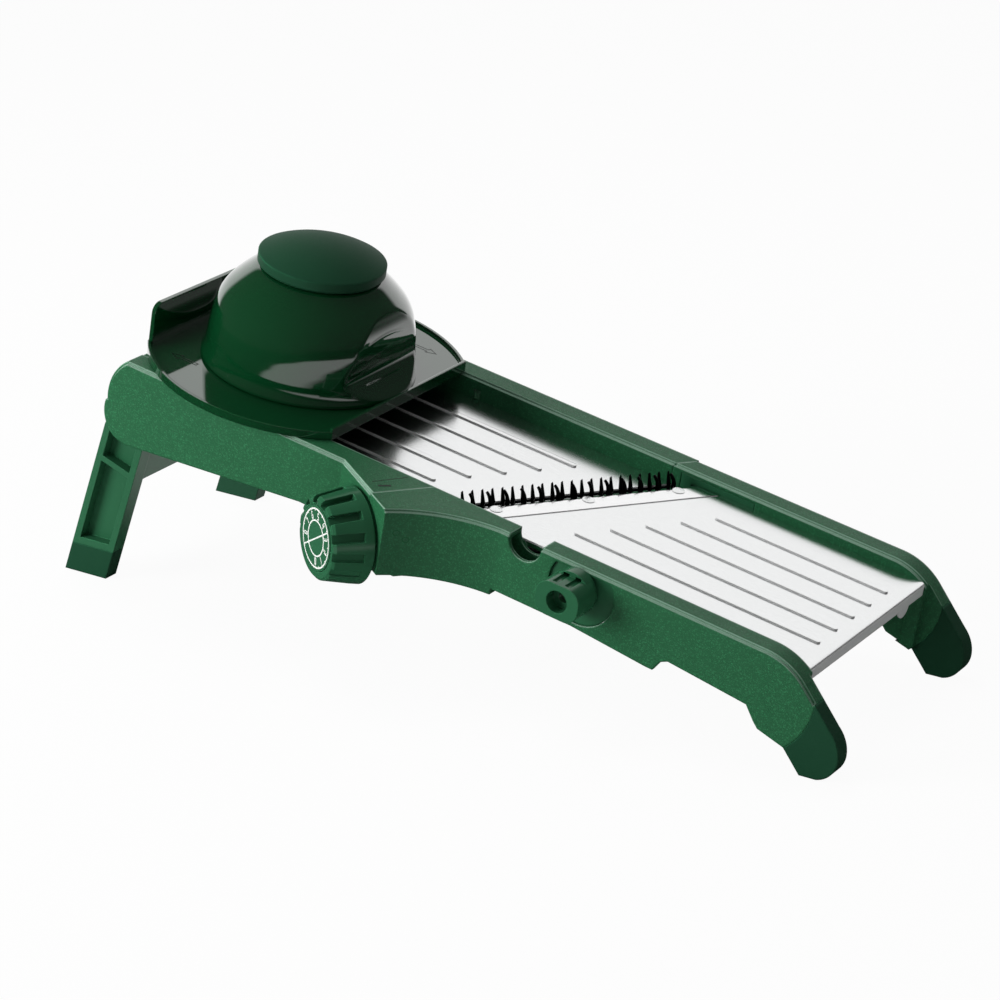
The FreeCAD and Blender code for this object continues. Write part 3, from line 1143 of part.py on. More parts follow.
def make_tie_screws():
    """Screws from inside the rails into the tie bars."""
    screws = []
    for side in (-1, 1):
        for tie in ("tie_rear_x", "tie_front_x"):
            x = f"{tie} + tie_width / 2"
            low = across(side, "chan_in - screw_length + room", "chan_in + bite")[0]
            shank = cylinder("screw_shank", "screw_radius", "screw_length + play", x, low, "tie_screw_z",
                             "Y")
            low = across(side, "chan_in", "chan_in + screw_head_thick")[0]
            head = cylinder("screw_head", "screw_head", "screw_head_thick", x, low, "tie_screw_z", "Y")
            screws.append(fuse("tie_screw", [shank, head]))
    group("tie_screws", screws)


def make_far_insert():
    """Insert flush in the inner face of the far rail beside the blade."""
    body = new_body("far_insert")
    outline = box_loop("insert_start_x + seam_gap", "insert_end_x - seam_gap", "insert_low + seam_gap",
                       "strip_low - bite - seam_gap")
    pad(body, "XZ", [outline], "runway_half + play / 2", "runway_half + insert_depth - play / 2")
    grip = box_loop("insert_start_x + 6", "insert_end_x - 6", "insert_low + 4", "strip_low - 4")
    pocket(body, "XZ", [grip], "runway_half - 1", "runway_half + 3 * room")


def floor_line(height, x):
    """Height up the leg of a level line, at a distance across the leg."""
    return f"(({x}) * sin(lean) + ({height}) - pivot_height) / cos(lean)"


def make_stand():
    """Two legs and a cross bar that fold up into the rails."""
    body = new_body("stand_frame", STAND)
    half = "leg_width / 2"
    for side in (-1, 1):
        low, high = across(side, "leg_in", "leg_out")
        leg = [(f"-{half}", floor_line("leg_foot", f"-{half}")), (half, floor_line("leg_foot", half)),
               (half, "-leg_cap"), ("leg_cap", "0", "leg_cap"), ("0", "leg_cap", "leg_cap"),
               ("-leg_cap", "0"),
               (f"-{half}", "-leg_cap")]
        pad(body, "XZ", [leg], low, high)
        if side < 0:
            brace = box_loop("-brace_deep / 2", "brace_deep / 2", "-brace_drop - brace_tall / 2",
                             "-brace_drop + brace_tall / 2")
            pad(body, "XZ", [brace], "-leg_in - 1", "leg_in + 1")
    for side in (-1, 1):
        outer = across(side, "leg_out - leg_panel", "leg_out + 1")
        edge = "(leg_width / 2 - leg_frame)"
        upper = box_loop(f"-{edge}", edge, "-leg_rib + rib_half", "-leg_cap")
        lower_edge = floor_line("leg_foot + leg_frame", f"-{edge}")
        lower = [(f"-{edge}", lower_edge), (edge, floor_line("leg_foot + leg_frame", edge)),
                 (edge, "-leg_rib - rib_half"), (f"-{edge}", "-leg_rib - rib_half")]
        pocket(body, "XZ", [upper, lower], *outer)
        pocket(body, "XZ", [("0", "0", "pin_radius + fit")], *across(side, "leg_in - 1", "leg_out + 1"))


def make_stand_foot(label, side):
    """Soft foot on the end of a leg, flat on the table."""
    body = new_body(label, STAND)
    half = "leg_width / 2"
    outline = [(f"-{half}", floor_line("0", f"-{half}")), (half, floor_line("0", half)),
               (half, floor_line("leg_foot", half)), (f"-{half}", floor_line("leg_foot", f"-{half}"))]
    pad(body, "XZ", [outline], *across(side, "leg_in", "leg_out"))


def make_stand_pins():
    """Pins on which the legs fold."""
    pins = []
    for side in (-1, 1):
        low = across(side, "runway_half + play", "upper_chan_out")[0]
        pins.append(cylinder("stand_pin", "pin_radius", "upper_chan_out - runway_half - play",
                             "pivot_x", low, "pivot_z", "Y"))
    group("stand_pins", pins)


def holder_loop(inset):
    """Plan of the holder plate: two straight edges joined by round sides."""
    radius = f"(holder_radius - {inset})"
    front, rear = f"(holder_front - {inset})", f"(holder_rear - {inset})"
    front_y = f"sqrt({radius} * {radius} - {front} * {front})"
    rear_y = f"sqrt({radius} * {radius} - {rear} * {rear})"
    return [(f"holder_x + {front}", f"-{front_y}"), (f"holder_x + {front}", front_y, radius),
            ("holder_x", radius, radius), (f"holder_x - {rear}", rear_y),
            (f"holder_x - {rear}", f"-{rear_y}", radius), ("holder_x", f"-{radius}", radius)]


def make_holder_plate():
    """Plate that slides on the rails, with a rim, a rear wall and two runners."""
    body = new_body("holder_plate")
    mouth = ("holder_x", "0", "mouth_radius")
    pad(body, "XY", [holder_loop("0"), mouth], "plate_low", "plate_top")
    pad(body, "XY", [holder_loop("0"), holder_loop("rim_width")], "plate_top - 1", "plate_top + rim_rise")
    front_x = "holder_x + holder_front"
    lip = box_loop(f"{front_x} - rim_width", front_x, "-lip_half", "lip_half")
    pad(body, "XY", [lip], "plate_top", "plate_top + lip_rise")
    foot_x = "holder_x - holder_rear + 2 * play"
    wall = box_loop(foot_x, f"{foot_x} + back_thick", "-back_half", "back_half")
    pad(body, "XY", [wall], "plate_low + 2 * play", "plate_top + back_rise")
    for side in (-1, 1):
        top = "plate_top + back_rise"
        corner = [(f"{side} * back_half", f"{top} - back_round", f"{side} * back_round"),
                  (f"{side} * (back_half - back_round)", top),
                  (f"{side} * (back_half - back_round)", f"{top} + 1"),
                  (f"{side} * (back_half + 1)", f"{top} + 1"),
                  (f"{side} * (back_half + 1)", f"{top} - back_round")]
        pocket(body, "YZ", [corner], f"{foot_x} - 1", f"{foot_x} + back_thick + 1")
    for side in (-1, 1):
        low, high = across(side, "runway_half - runner_play - runner_width", "runway_half - runner_play")
        loop = box_loop("holder_x - runner_half", "holder_x + runner_half", low, high)
        pad(body, "XY", [loop], "runner_low", "plate_low + bite")
    for x, y in dome_screw_places():
        pocket(body, "XY", [(x, y, "screw_radius + fit")], "plate_low - 1", "plate_top + 1")
        pocket(body, "XY", [(x, y, "screw_head + fit")], "plate_low - 1",
               "plate_low + screw_head_thick - 2 * play")


def dome_screw_places():
    """Centres of the screws that hold the dome to its plate."""
    reach = "dome_screw_ring * cos(45)"
    return [(f"holder_x + {i} * {reach}", f"{j} * {reach}") for i in (-1, 1) for j in (-1, 1)]


def make_dome():
    """Dome over the food, with a guide tube and a flat finger scoop front and back."""
    outer = doc.addObject("PartDesign::Body", "dome_outside")
    bore = "stem_radius + 2 * fit"
    tube_low = "dome_top - tube_length"
    shell = [(bore, "plate_top"), ("collar_radius", "plate_top"),
             ("collar_radius", "plate_top + collar_edge", "-collar_hollow"),
             ("dome_radius", "collar_top", "dome_bulge"), ("knee_radius", "knee_z", "shoulder_bulge"),
             ("dome_top_radius", "dome_top"), (bore, "dome_top")]
    revolve(outer, [shell])
    for side in (-1, 1):
        scoop = [(f"{side} * scoop_foot", "plate_top + scoop_sill"), (f"{side} * scoop_head", "dome_top"),
                 (f"{side} * 2 * dome_radius", "dome_top"),
                 (f"{side} * 2 * dome_radius", "plate_top + scoop_sill")]
        pocket(outer, "XZ", [scoop], "-dome_radius", "dome_radius")
    hollow = doc.addObject("PartDesign::Body", "dome_hollow")
    inner_top = "dome_top - dome_wall"
    inside = [("0", "plate_top - 1"), ("mouth_radius", "plate_top - 1"), ("mouth_radius", "collar_top"),
              ("dome_radius - dome_wall", "collar_top + 4", "dome_bulge - dome_wall"),
              ("knee_radius - dome_wall", "knee_z - bite", "shoulder_bulge - dome_wall"),
              ("dome_top_radius - rim_width", inner_top), ("tube_radius", inner_top),
              ("tube_radius", tube_low),
              ("0", tube_low)]
    revolve(hollow, [inside])
    slab = doc.addObject("PartDesign::Body", "dome_slab")
    foot, head = "(scoop_foot - dome_wall)", "(scoop_head - dome_wall)"
    wedge = [(f"-{foot}", "plate_top - 2"), (foot, "plate_top - 2"), (foot, "plate_top + scoop_sill"),
             (head, "dome_top"), (f"-{head}", "dome_top"), (f"-{foot}", "plate_top + scoop_sill")]
    pad(slab, "XZ", [wedge], "-dome_radius", "dome_radius")
    room = doc.addObject("Part::Common", "dome_room")
    room.Base = hollow
    room.Tool = slab
    holes = [cylinder("dome_hole", "screw_radius + fit / 2", "screw_bite + 2 * play", f"({x}) - holder_x",
                      y,
                      "plate_top - play") for x, y in dome_screw_places()]
    cut = doc.addObject("Part::Cut", "holder_dome")
    cut.Base = outer
    cut.Tool = fuse("dome_cuts", [room] + holes)
    doc.recompute()
    keep(cut, "holder_dome", on_holder_axis())


def make_dome_screws():
    """Screws through the holder plate into the collar."""
    screws = []
    for x, y in dome_screw_places():
        head = cylinder("screw_head", "screw_head", "screw_head_thick - 3 * play", x, y,
                        "plate_low + play / 2")
        shank = cylinder("screw_shank", "screw_radius", "plate_top - plate_low + screw_bite - play / 2",
                         x, y,
                         "plate_low + play / 2")
        screws.append(fuse("dome_screw", [head, shank]))
    group("dome_screws", screws)


def on_holder_axis():
    return BENCH.multiply(FreeCAD.Placement(FreeCAD.Vector(value("holder_x"), 0, 0), FreeCAD.Rotation()))


def make_plunger_stem():
    """Hollow stem from the cap to the pusher."""
    body = new_body("plunger_stem", on_holder_axis())
    bore = "stem_radius - 2"
    pad(body, "XY", [("0", "0", "stem_radius"), ("0", "0", bore)], "pusher_top", "cap_low + cap_edge")


def make_cap():
    """Soft domed cap over the stem."""
    body = new_body("plunger_cap", on_holder_axis())
    crown = "(cap_radius * cap_radius / (2 * crown_rise) + crown_rise / 2)"
    inner_edge = "cap_low + cap_edge"
    profile = [("0", inner_edge), ("stem_radius + 1", inner_edge),
               ("cap_radius - cap_skin", "cap_low + cap_skin / 2"),
               ("cap_radius - 1", "cap_low"), ("cap_radius", "cap_low + 1"),
               ("cap_radius", inner_edge, crown),
               ("0", "cap_crown")]
    revolve(body, [profile])


def make_pusher():
    """Disc that presses the food, with holes for its pins."""
    body = new_body("pusher_disc", on_holder_axis())
    low = "pusher_top - pusher_thick"
    loops = [("0", "0", "pusher_radius")]
    loops += [(x, y, "prong_radius + fit / 2") for x, y in prong_places()]
    pad(body, "XY", loops, low, "pusher_top")


def prong_places():
    """Centres of the food pins about the holder's axis."""
    places = []
    count = int(value("prong_count"))
    for step in range(count):
        turn = f"{step} * 360 / prong_count"
        places.append((f"prong_ring * cos({turn})", f"prong_ring * sin({turn})"))
    for turn in ("0", "120", "240"):
        places.append((f"prong_inner * cos({turn})", f"prong_inner * sin({turn})"))
    return places


def make_prongs():
    """Steel pins that grip the food."""
    prongs = []
    for x, y in prong_places():
        prongs.append(cylinder("prong", "prong_radius", "pusher_top - prong_low - play",
                               f"holder_x + {x}", y, "prong_low"))
    group("food_pins", prongs)


make_near_upper_rail()
make_far_upper_rail()
make_lower_rail("near_lower_rail", -1)
make_lower_rail("far_lower_rail", 1)
make_front_foot("near_front_foot", -1)
make_front_foot("far_front_foot", 1)
make_rear_handle()
make_rear_tie_bar()
make_tie_bar("front_tie_bar", "tie_front_x")
make_tie_screws()
make_far_insert()
make_knob_plate()
make_lower_runway()
make_blade_bar()
make_blade()
make_rivets()
make_carriage_guides()
make_dial_bush()
make_stand_pins()
make_deck_plate()
make_deck_carrier()
make_guide_pins()
make_dial()
make_dial_disc()
make_dial_shaft()
make_cams()
make_carriage()
make_fine_comb()
make_fry_comb()
make_crank_shaft()
make_knob()
make_stand()
make_stand_foot("near_stand_foot", -1)
make_stand_foot("far_stand_foot", 1)
make_holder_plate()
make_dome()
make_dome_screws()
make_plunger_stem()
make_cap()
make_pusher()
make_prongs()
doc.recompute()

for item in doc.Objects:
    if "Invalid" in item.State or "Error" in item.State:
        raise RuntimeError(f"{item.Label} failed: {item.State}")
for item in subparts:
    if item.Shape.isNull() or not item.Shape.isValid():
        raise RuntimeError(f"{item.Label} has no valid shape")

os.makedirs("parts", exist_ok=True)
for item in subparts:
    item.Shape.exportStep(f"parts/{item.Label}.step")
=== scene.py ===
"""Looks of a mandoline slicer: green moulded rails, a brushed steel runway and a domed food holder."""

import json
import math

import bpy
from bpy.props import FloatProperty, FloatVectorProperty, IntProperty, PointerProperty
from mathutils import Matrix, Vector


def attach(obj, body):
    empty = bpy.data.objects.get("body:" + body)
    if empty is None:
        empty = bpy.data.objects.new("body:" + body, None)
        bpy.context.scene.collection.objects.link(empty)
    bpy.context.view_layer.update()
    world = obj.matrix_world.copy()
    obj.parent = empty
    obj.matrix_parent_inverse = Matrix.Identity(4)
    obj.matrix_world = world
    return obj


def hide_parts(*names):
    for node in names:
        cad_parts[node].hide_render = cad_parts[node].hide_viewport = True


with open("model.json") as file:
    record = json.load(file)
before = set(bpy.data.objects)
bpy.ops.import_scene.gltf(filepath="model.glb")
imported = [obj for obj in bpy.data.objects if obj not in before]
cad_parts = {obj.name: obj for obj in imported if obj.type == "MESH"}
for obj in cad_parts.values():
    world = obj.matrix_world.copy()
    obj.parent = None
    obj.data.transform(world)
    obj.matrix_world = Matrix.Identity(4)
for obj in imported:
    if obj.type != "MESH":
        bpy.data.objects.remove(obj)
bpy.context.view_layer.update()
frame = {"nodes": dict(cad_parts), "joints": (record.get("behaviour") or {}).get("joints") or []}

bl_info = {
    "name": "Mandoline Slicer Looks",
    "version": (1, 0, 0),
    "blender": (4, 5, 0),
    "location": "View3D > Sidebar > Slicer",
    "description": "Finishes, printed marks and studio for a mandoline slicer with a food holder",
    "category": "Object",
}

MM = 0.001
NODES = frame["nodes"]
JOINTS = {joint["name"]: joint for joint in frame["joints"]}

# The bench frame lies in the runway: x down the slope, y across, z square to the steel, in millimetres.
SLOPE = Vector(JOINTS["holder_slide"]["axis"]).normalized()
LIFT = Vector(JOINTS["deck_lift"]["axis"]).normalized()
KNOB_AT = Vector((193.0, 0.0, -6.0))
HOLDER_X = -5.0
PLATE_TOP = 8.0
RAIL_TOP = 5.3

# Side of the dome from its foot to the edge of its top: radius and height in the bench frame.
DOME_LINE = ((51.3, 8.05), (51.8, 8.5), (51.8, 9.6), (51.5, 10.4), (50.9, 12.2), (50.4, 14.6), (50.1, 18.0),
             (49.6, 23.0), (48.9, 28.5), (47.9, 33.5), (46.2, 39.0), (43.2, 44.0), (38.6, 49.0), (34.2, 53.0),
             (31.0, 55.5), (28.8, 56.6), (27.4, 56.8))

# Flat of a finger scoop: height in the bench frame and distance from the dome's axis.
SCOOP_LINE = ((8.0, 52.2), (10.0, 51.0), (14.0, 45.0), (18.0, 41.5), (22.0, 40.6), (27.0, 41.3), (32.0, 42.2),
              (40.0, 41.6), (45.0, 40.2), (49.5, 38.6), (60.0, 35.0))

# The curved wall beside the dial is part of a round wall about this place.
FLARE_MIDDLE = Vector((158.1, -132.5))
FLARE_RADIUS = 68.0


def frame_matrix(origin, along, up):
    """Matrix with x along, z up and its origin there, all in metres."""
    side = up.cross(along)
    turn = Matrix((along, side, up)).transposed().to_4x4()
    turn.translation = origin
    return turn


def bench_origin():
    """Origin of the bench frame, worked back from the knob's axis."""
    knob = Vector(JOINTS["knob_turn"]["pos_m"])
    return knob - (KNOB_AT.x * SLOPE + KNOB_AT.z * LIFT) * MM


BENCH = frame_matrix(bench_origin(), SLOPE, LIFT)
DIAL_AXIS = Vector(JOINTS["dial_turn"]["axis"]).normalized()
DIAL_POINT = Vector(JOINTS["dial_turn"]["pos_m"])
TILT = math.atan2(LIFT.x, LIFT.z)


def bench(x, y, z):
    """Point of the bench frame, in millimetres, as a point of the row frame in metres."""
    return BENCH @ (Vector((x, y, z)) * MM)


def reach(node, point, direction):
    """Furthest a node's mesh reaches along a direction from a point, in metres."""
    return max((vertex.co - point).dot(direction) for vertex in NODES[node].data.vertices)


def linear(code):
    """An sRGB hex colour as linear red, green, blue and alpha."""
    parts = [int(code[i : i + 2], 16) / 255 for i in (1, 3, 5)]
    return [c / 12.92 if c <= 0.04045 else ((c + 0.055) / 1.055) ** 2.4 for c in parts] + [1.0]


WHITE = linear("#ffffff")


def per_mm(size):
    """Texture scale at which one feature of the pattern is this many millimetres, in metre coordinates."""
    return 1 / (size * MM)


def add(tree, kind, links=None, **settings):
    """Add one node: settings are its own properties, links fill its inputs with values or with sockets."""
    node = tree.nodes.new(kind)
    for name, setting in settings.items():
        setattr(node, name, setting)
    for name, source in (links or {}).items():
        if isinstance(source, bpy.types.NodeSocket):
            tree.links.new(source, node.inputs[name])
        else:
            node.inputs[name].default_value = source
    return node


def new_material(name):
    """Empty node material and its node tree."""
    material = bpy.data.materials.new(name)
    material.use_nodes = True
    material.node_tree.nodes.clear()
    return material, material.node_tree


def colour(name, code, note):
    """Colour setting whose default is an sRGB hex value."""
    return FloatVectorProperty(name=name, description=note, default=linear(code), size=4, subtype="COLOR",
                               min=0, max=1)


def length(name, default, note):
    """Length setting in metres, with its default in millimetres."""
    return FloatProperty(name=name, description=note, default=default * MM, unit="LENGTH", precision=5)


class SlicerFinishes(bpy.types.PropertyGroup):
    """Colours of the slicer's materials."""

    body_green: colour("Body green", "#2a6643", "Moulded ABS of the rails")
    gloss_green: colour("Gloss green", "#083b1e", "Polished ABS of the food holder")
    soft_green: colour("Soft green", "#1b4630", "Rubber of the feet and the palm cap")
    satin_green: colour("Satin green", "#2b6243", "Satin ABS of the stand, dial and knob")
    # Painted shade: slots, seams and engraved lines are drawn nearly black, as the shade in a narrow recess looks.
    ink: colour("Ink", "#06130b", "Slots, seams and engraved lines")
    steel: colour("Steel", "#f3f4f4", "Brushed stainless steel of the runway")
    blade: colour("Blade", "#f7f7f7", "Ground stainless steel of the blade")
    # Painted reflection: the cutters' steel is drawn dark, as it mirrors the dark side of the studio.
    cutter: colour("Cutter", "#26282a", "Steel of the upright cutters, seen against the white runway")
    # Painted highlight: colour that the rounded upper edges of the rails are drawn in.
    edge_light: colour("Edge light", "#9fc4ae", "Rounded upper edges of the rails")
    nylon: colour("Nylon", "#15171a", "Black nylon of the hidden carriers")
    print_white: colour("Print", "#e8ece6", "Printed marks of the dial")


class SlicerMarks(bpy.types.PropertyGroup):
    """Sizes of the printed and moulded marks."""

    scoop_edge: length("Scoop edge", 0.7, "Rounding between a finger scoop and the dome")
    ridge_count: IntProperty(name="Ridges", description="Ridges in each finger scoop", default=3, min=0, max=6)
    ridge_rise: length("Ridge rise", 0.15, "Height of a ridge in the finger scoops")
    ridge_pitch: length("Ridge pitch", 7.2, "From ridge to ridge")
    arrow_length: length("Arrow length", 15.0, "Engraved arrows on the holder plate")
    line_width: length("Line width", 0.5, "Engraved and printed lines")
    digit_height: length("Digit height", 2.9, "Numbers on the dial")


class SlicerStudio(bpy.types.PropertyGroup):
    """Camera and light of the studio."""

    azimuth: FloatProperty(name="Azimuth", description="Camera angle about the object", default=math.radians(33.19),
                           subtype="ANGLE")
    elevation: FloatProperty(name="Elevation", description="Camera height angle", default=math.radians(22.21),
                             subtype="ANGLE")
    distance: length("Distance", 1543.5, "Camera from its target")
    lens: FloatProperty(name="Lens", description="Focal length on a 36 mm sensor", default=118.95, unit="CAMERA")
    target: FloatVectorProperty(name="Target", description="Point in the middle of the image", unit="LENGTH",
                                default=(-0.00031, 0.0137, 0.06164), size=3, precision=5)
    key_power: FloatProperty(name="Key", description="Softbox on the left", default=21.0, unit="POWER")
    top_power: FloatProperty(name="Top", description="Softbox overhead", default=4.5, unit="POWER")
    tent: FloatProperty(name="Tent", description="Brightness of the white tent above the object", default=0.28)
    sweep: FloatProperty(name="Sweep", description="Brightness of the white sweep in reflections", default=1.0)


def upper_edge(tree, edge):
    """How far a surface, from its bevel node, is the rounding of an edge that faces up: the mask of a painted
    highlight.
    """
    flat = add(tree, "ShaderNodeNewGeometry").outputs["True Normal"]
    same = add(tree, "ShaderNodeVectorMath", {0: edge.outputs[0], 1: flat}, operation="DOT_PRODUCT")
    crest = add(tree, "ShaderNodeMapRange", {"Value": same.outputs["Value"], "From Min": 0.99, "From Max": 0.86})
    rise = add(tree, "ShaderNodeSeparateXYZ", {"Vector": edge.outputs[0]})
    upper = add(tree, "ShaderNodeMapRange", {"Value": rise.outputs["Z"], "From Min": 0.3, "From Max": 0.6})
    lit = add(tree, "ShaderNodeMath", {0: crest.outputs[0], 1: upper.outputs[0]}, operation="MULTIPLY")
    return lit.outputs[0]


def spark_abs(name, base, edge_light):
    """Moulded ABS from a spark eroded mould: a pebbled skin with painted glints, and a painted highlight on its
    upper edges.
    """
    material, tree = new_material(name)
    place = add(tree, "ShaderNodeTexCoord").outputs["Object"]
    # A real spark finish is about 0.1 mm; it is drawn at 0.5 mm so that the glints show.
    pebble = add(tree, "ShaderNodeTexVoronoi", {"Vector": place, "Scale": per_mm(0.5)})
    cloud = add(tree, "ShaderNodeTexNoise", {"Vector": place, "Scale": per_mm(40.0), "Detail": 2.0})
    edge = add(tree, "ShaderNodeBevel", {"Radius": 1.6 * MM}, samples=8)
    bump = add(tree, "ShaderNodeBump", {"Strength": 0.5, "Distance": 0.2 * MM, "Height": pebble.outputs["Distance"],
                                        "Normal": edge.outputs[0]})
    # Painted glints: about a third of the pebbles, picked at random, are drawn up to half as light again.
    facet = add(tree, "ShaderNodeSeparateColor", {"Color": pebble.outputs["Color"]})
    shade = add(tree, "ShaderNodeMapRange", {"Value": facet.outputs["Red"], "From Min": 0.7, "To Min": 0.92,
                                             "To Max": 1.5})
    drift = add(tree, "ShaderNodeMapRange", {"Value": cloud.outputs["Fac"], "To Min": 0.94, "To Max": 1.06})
    value = add(tree, "ShaderNodeMath", {0: shade.outputs[0], 1: drift.outputs[0]}, operation="MULTIPLY")
    tint = add(tree, "ShaderNodeHueSaturation", {"Color": base, "Value": value.outputs[0]})
    # Painted highlight: the rounded upper edges turn towards the pale edge colour.
    colours = add(tree, "ShaderNodeMix", {0: upper_edge(tree, edge), 6: tint.outputs[0], 7: edge_light},
                  data_type="RGBA")
    rough = add(tree, "ShaderNodeMapRange", {"Value": facet.outputs["Green"], "To Min": 0.3, "To Max": 0.5})
    shader = add(tree, "ShaderNodeBsdfPrincipled", {"Base Color": colours.outputs[2], "Roughness": rough.outputs[0],
                                                    "Specular IOR Level": 0.25, "Normal": bump.outputs[0]})
    add(tree, "ShaderNodeOutputMaterial", {"Surface": shader.outputs[0]})
    return material


def moulded(name, base, roughness, grain, strength, rounding, shine=0.5, coat=0.0):
    """Moulded plastic or rubber: grain and edge radius in millimetres, how much the grain shows, and its gloss; its
    rounded upper edges get a painted highlight.
    """
    material, tree = new_material(name)
    place = add(tree, "ShaderNodeTexCoord").outputs["Object"]
    skin = add(tree, "ShaderNodeTexNoise", {"Vector": place, "Scale": per_mm(grain), "Detail": 3.0})
    cloud = add(tree, "ShaderNodeTexNoise", {"Vector": place, "Scale": per_mm(30.0), "Detail": 2.0})
    edge = add(tree, "ShaderNodeBevel", {"Radius": rounding * MM}, samples=4)
    bump = add(tree, "ShaderNodeBump", {"Strength": strength, "Distance": 0.1 * MM, "Height": skin.outputs["Fac"],
                                        "Normal": edge.outputs[0]})
    drift = add(tree, "ShaderNodeMapRange", {"Value": cloud.outputs["Fac"], "To Min": 0.94, "To Max": 1.06})
    # Painted highlight: rounded upper edges are drawn lighter than the rest.
    bright = add(tree, "ShaderNodeMath", {0: upper_edge(tree, edge), 1: 1.4, 2: drift.outputs[0]},
                 operation="MULTIPLY_ADD")
    tint = add(tree, "ShaderNodeHueSaturation", {"Color": base, "Value": bright.outputs[0]})
    rough = add(tree, "ShaderNodeMapRange", {"Value": skin.outputs["Fac"], "To Min": roughness * 0.85,
                                             "To Max": roughness * 1.15})
    shader = add(tree, "ShaderNodeBsdfPrincipled", {"Base Color": tint.outputs[0], "Roughness": rough.outputs[0],
                                                    "Specular IOR Level": shine, "IOR": 1.53,
                                                    "Normal": bump.outputs[0], "Coat Weight": coat,
                                                    "Coat IOR": 1.6, "Coat Roughness": 0.02,
                                                    "Coat Normal": edge.outputs[0]})
    add(tree, "ShaderNodeOutputMaterial", {"Surface": shader.outputs[0]})
    return material


def shallow_ribs(tree, edge, press):
    """Normal and metallic of a ribbed sheet: press is how far its level parts turn square to the runway."""
    upright = add(tree, "ShaderNodeVectorTransform", {"Vector": LIFT}, vector_type="NORMAL", convert_from="OBJECT",
                  convert_to="WORLD")
    flat = add(tree, "ShaderNodeNewGeometry").outputs["True Normal"]
    facing = add(tree, "ShaderNodeVectorMath", {0: flat, 1: upright.outputs[0]}, operation="DOT_PRODUCT")
    level = add(tree, "ShaderNodeMapRange", {"Value": facing.outputs["Value"], "From Min": 0.3, "From Max": 0.8,
                                             "To Max": press})
    lean = add(tree, "ShaderNodeMix", {0: level.outputs[0], 4: edge.outputs[0], 5: upright.outputs[0]},
               data_type="VECTOR")
    turned = add(tree, "ShaderNodeVectorMath", {0: lean.outputs[1]}, operation="NORMALIZE")
    # Real ribs are shallower than these, so their steep sides scatter light instead of mirroring the dark side.
    mirror = add(tree, "ShaderNodeMapRange", {"Value": facing.outputs["Value"], "From Min": 0.3, "From Max": 0.8,
                                              "To Min": 1 - press})
    return turned.outputs[0], mirror.outputs[0]


def brushed_steel(name, base, roughness, line, press=0.0):
    """Steel brushed down the runway: fine lines that spread each reflection; press makes its ribs look shallow."""
    material, tree = new_material(name)
    place = add(tree, "ShaderNodeTexCoord").outputs["Object"]
    # Brush lines are about 0.05 mm; they are drawn coarser so that they show.
    laid = add(tree, "ShaderNodeMapping", {"Vector": place, "Rotation": (0, TILT, 0),
                                           "Scale": (per_mm(90.0), per_mm(line), per_mm(line))})
    lines = add(tree, "ShaderNodeTexNoise", {"Vector": laid.outputs[0], "Scale": 1.0, "Detail": 4.0,
                                             "Roughness": 0.7})
    # Pressed ribs and bent edges of sheet have no sharp corners.
    edge = add(tree, "ShaderNodeBevel", {"Radius": 0.9 * MM}, samples=6)
    normal, metallic = shallow_ribs(tree, edge, press) if press else (edge.outputs[0], 1.0)
    bump = add(tree, "ShaderNodeBump", {"Strength": 0.05, "Distance": 0.05 * MM, "Height": lines.outputs["Fac"],
                                        "Normal": normal})
    shade = add(tree, "ShaderNodeMapRange", {"Value": lines.outputs["Fac"], "From Min": 0.3, "From Max": 0.7,
                                             "To Min": 0.94, "To Max": 1.03})
    tint = add(tree, "ShaderNodeHueSaturation", {"Color": base, "Value": shade.outputs[0]})
    rough = add(tree, "ShaderNodeMapRange", {"Value": lines.outputs["Fac"], "To Min": roughness * 0.8,
                                             "To Max": roughness * 1.2})
    shader = add(tree, "ShaderNodeBsdfPrincipled", {"Base Color": tint.outputs[0], "Metallic": metallic,
                                                    "Roughness": rough.outputs[0], "Normal": bump.outputs[0]})
    add(tree, "ShaderNodeOutputMaterial", {"Surface": shader.outputs[0]})
    return material


def plain_rays(tree, path):
    """Rays that show the plain white background: those from the camera, and those through anything clear."""
    rays = {0: path.outputs["Is Camera Ray"], 1: path.outputs["Is Transmission Ray"]}
    return add(tree, "ShaderNodeMath", rays, operation="MAXIMUM").outputs[0]


def dress(material, *names):
    """Give CAD nodes this material."""
    for name in names:
        mesh = NODES[name].data
        mesh.materials.clear()
        mesh.materials.append(material)


def new_piece(name, points, faces, material, body):
    """Mesh piece from points in metres in the row frame, riding on a body."""
    mesh = bpy.data.meshes.new(name)
    mesh.from_pydata(points, [], faces)
    mesh.update()
    mesh.materials.append(material)
    piece = bpy.data.objects.new(name, mesh)
    bpy.context.collection.objects.link(piece)
    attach(piece, body)
    return piece


def smooth_line(points, steps):
    """Points of a smooth curve through the given ones, with this many steps in each span."""
    line = [Vector(point) for point in points]
    line = [2 * line[0] - line[1]] + line + [2 * line[-1] - line[-2]]
    curve = []
    for a, b, c, d in zip(line, line[1:], line[2:], line[3:]):
        for step in range(steps):
            t = step / steps
            bend = (2 * a - 5 * b + 4 * c - d) * t * t + (3 * b - a - 3 * c + d) * t**3
            curve.append(b + 0.5 * ((c - a) * t + bend))
    return curve + [line[-2]]


def soft_least(a, b, width):
    """The lesser of two lengths, rounded off where they differ by less than a width."""
    share = max(width - abs(a - b), 0) / width
    return min(a, b) - share * share * width / 4


def ease(value, start, end):
    """Smooth step from 0 at the start to 1 at the end."""
    t = min(max((value - start) / (end - start), 0), 1)
    return t * t * (3 - 2 * t)


def circle(radius, count, middle=(0, 0)):
    """Closed line of a circle in a plane, in millimetres."""
    turns = [math.tau * step / count for step in range(count + 1)]
    return [(middle[0] + radius * math.cos(turn), middle[1] + radius * math.sin(turn)) for turn in turns]


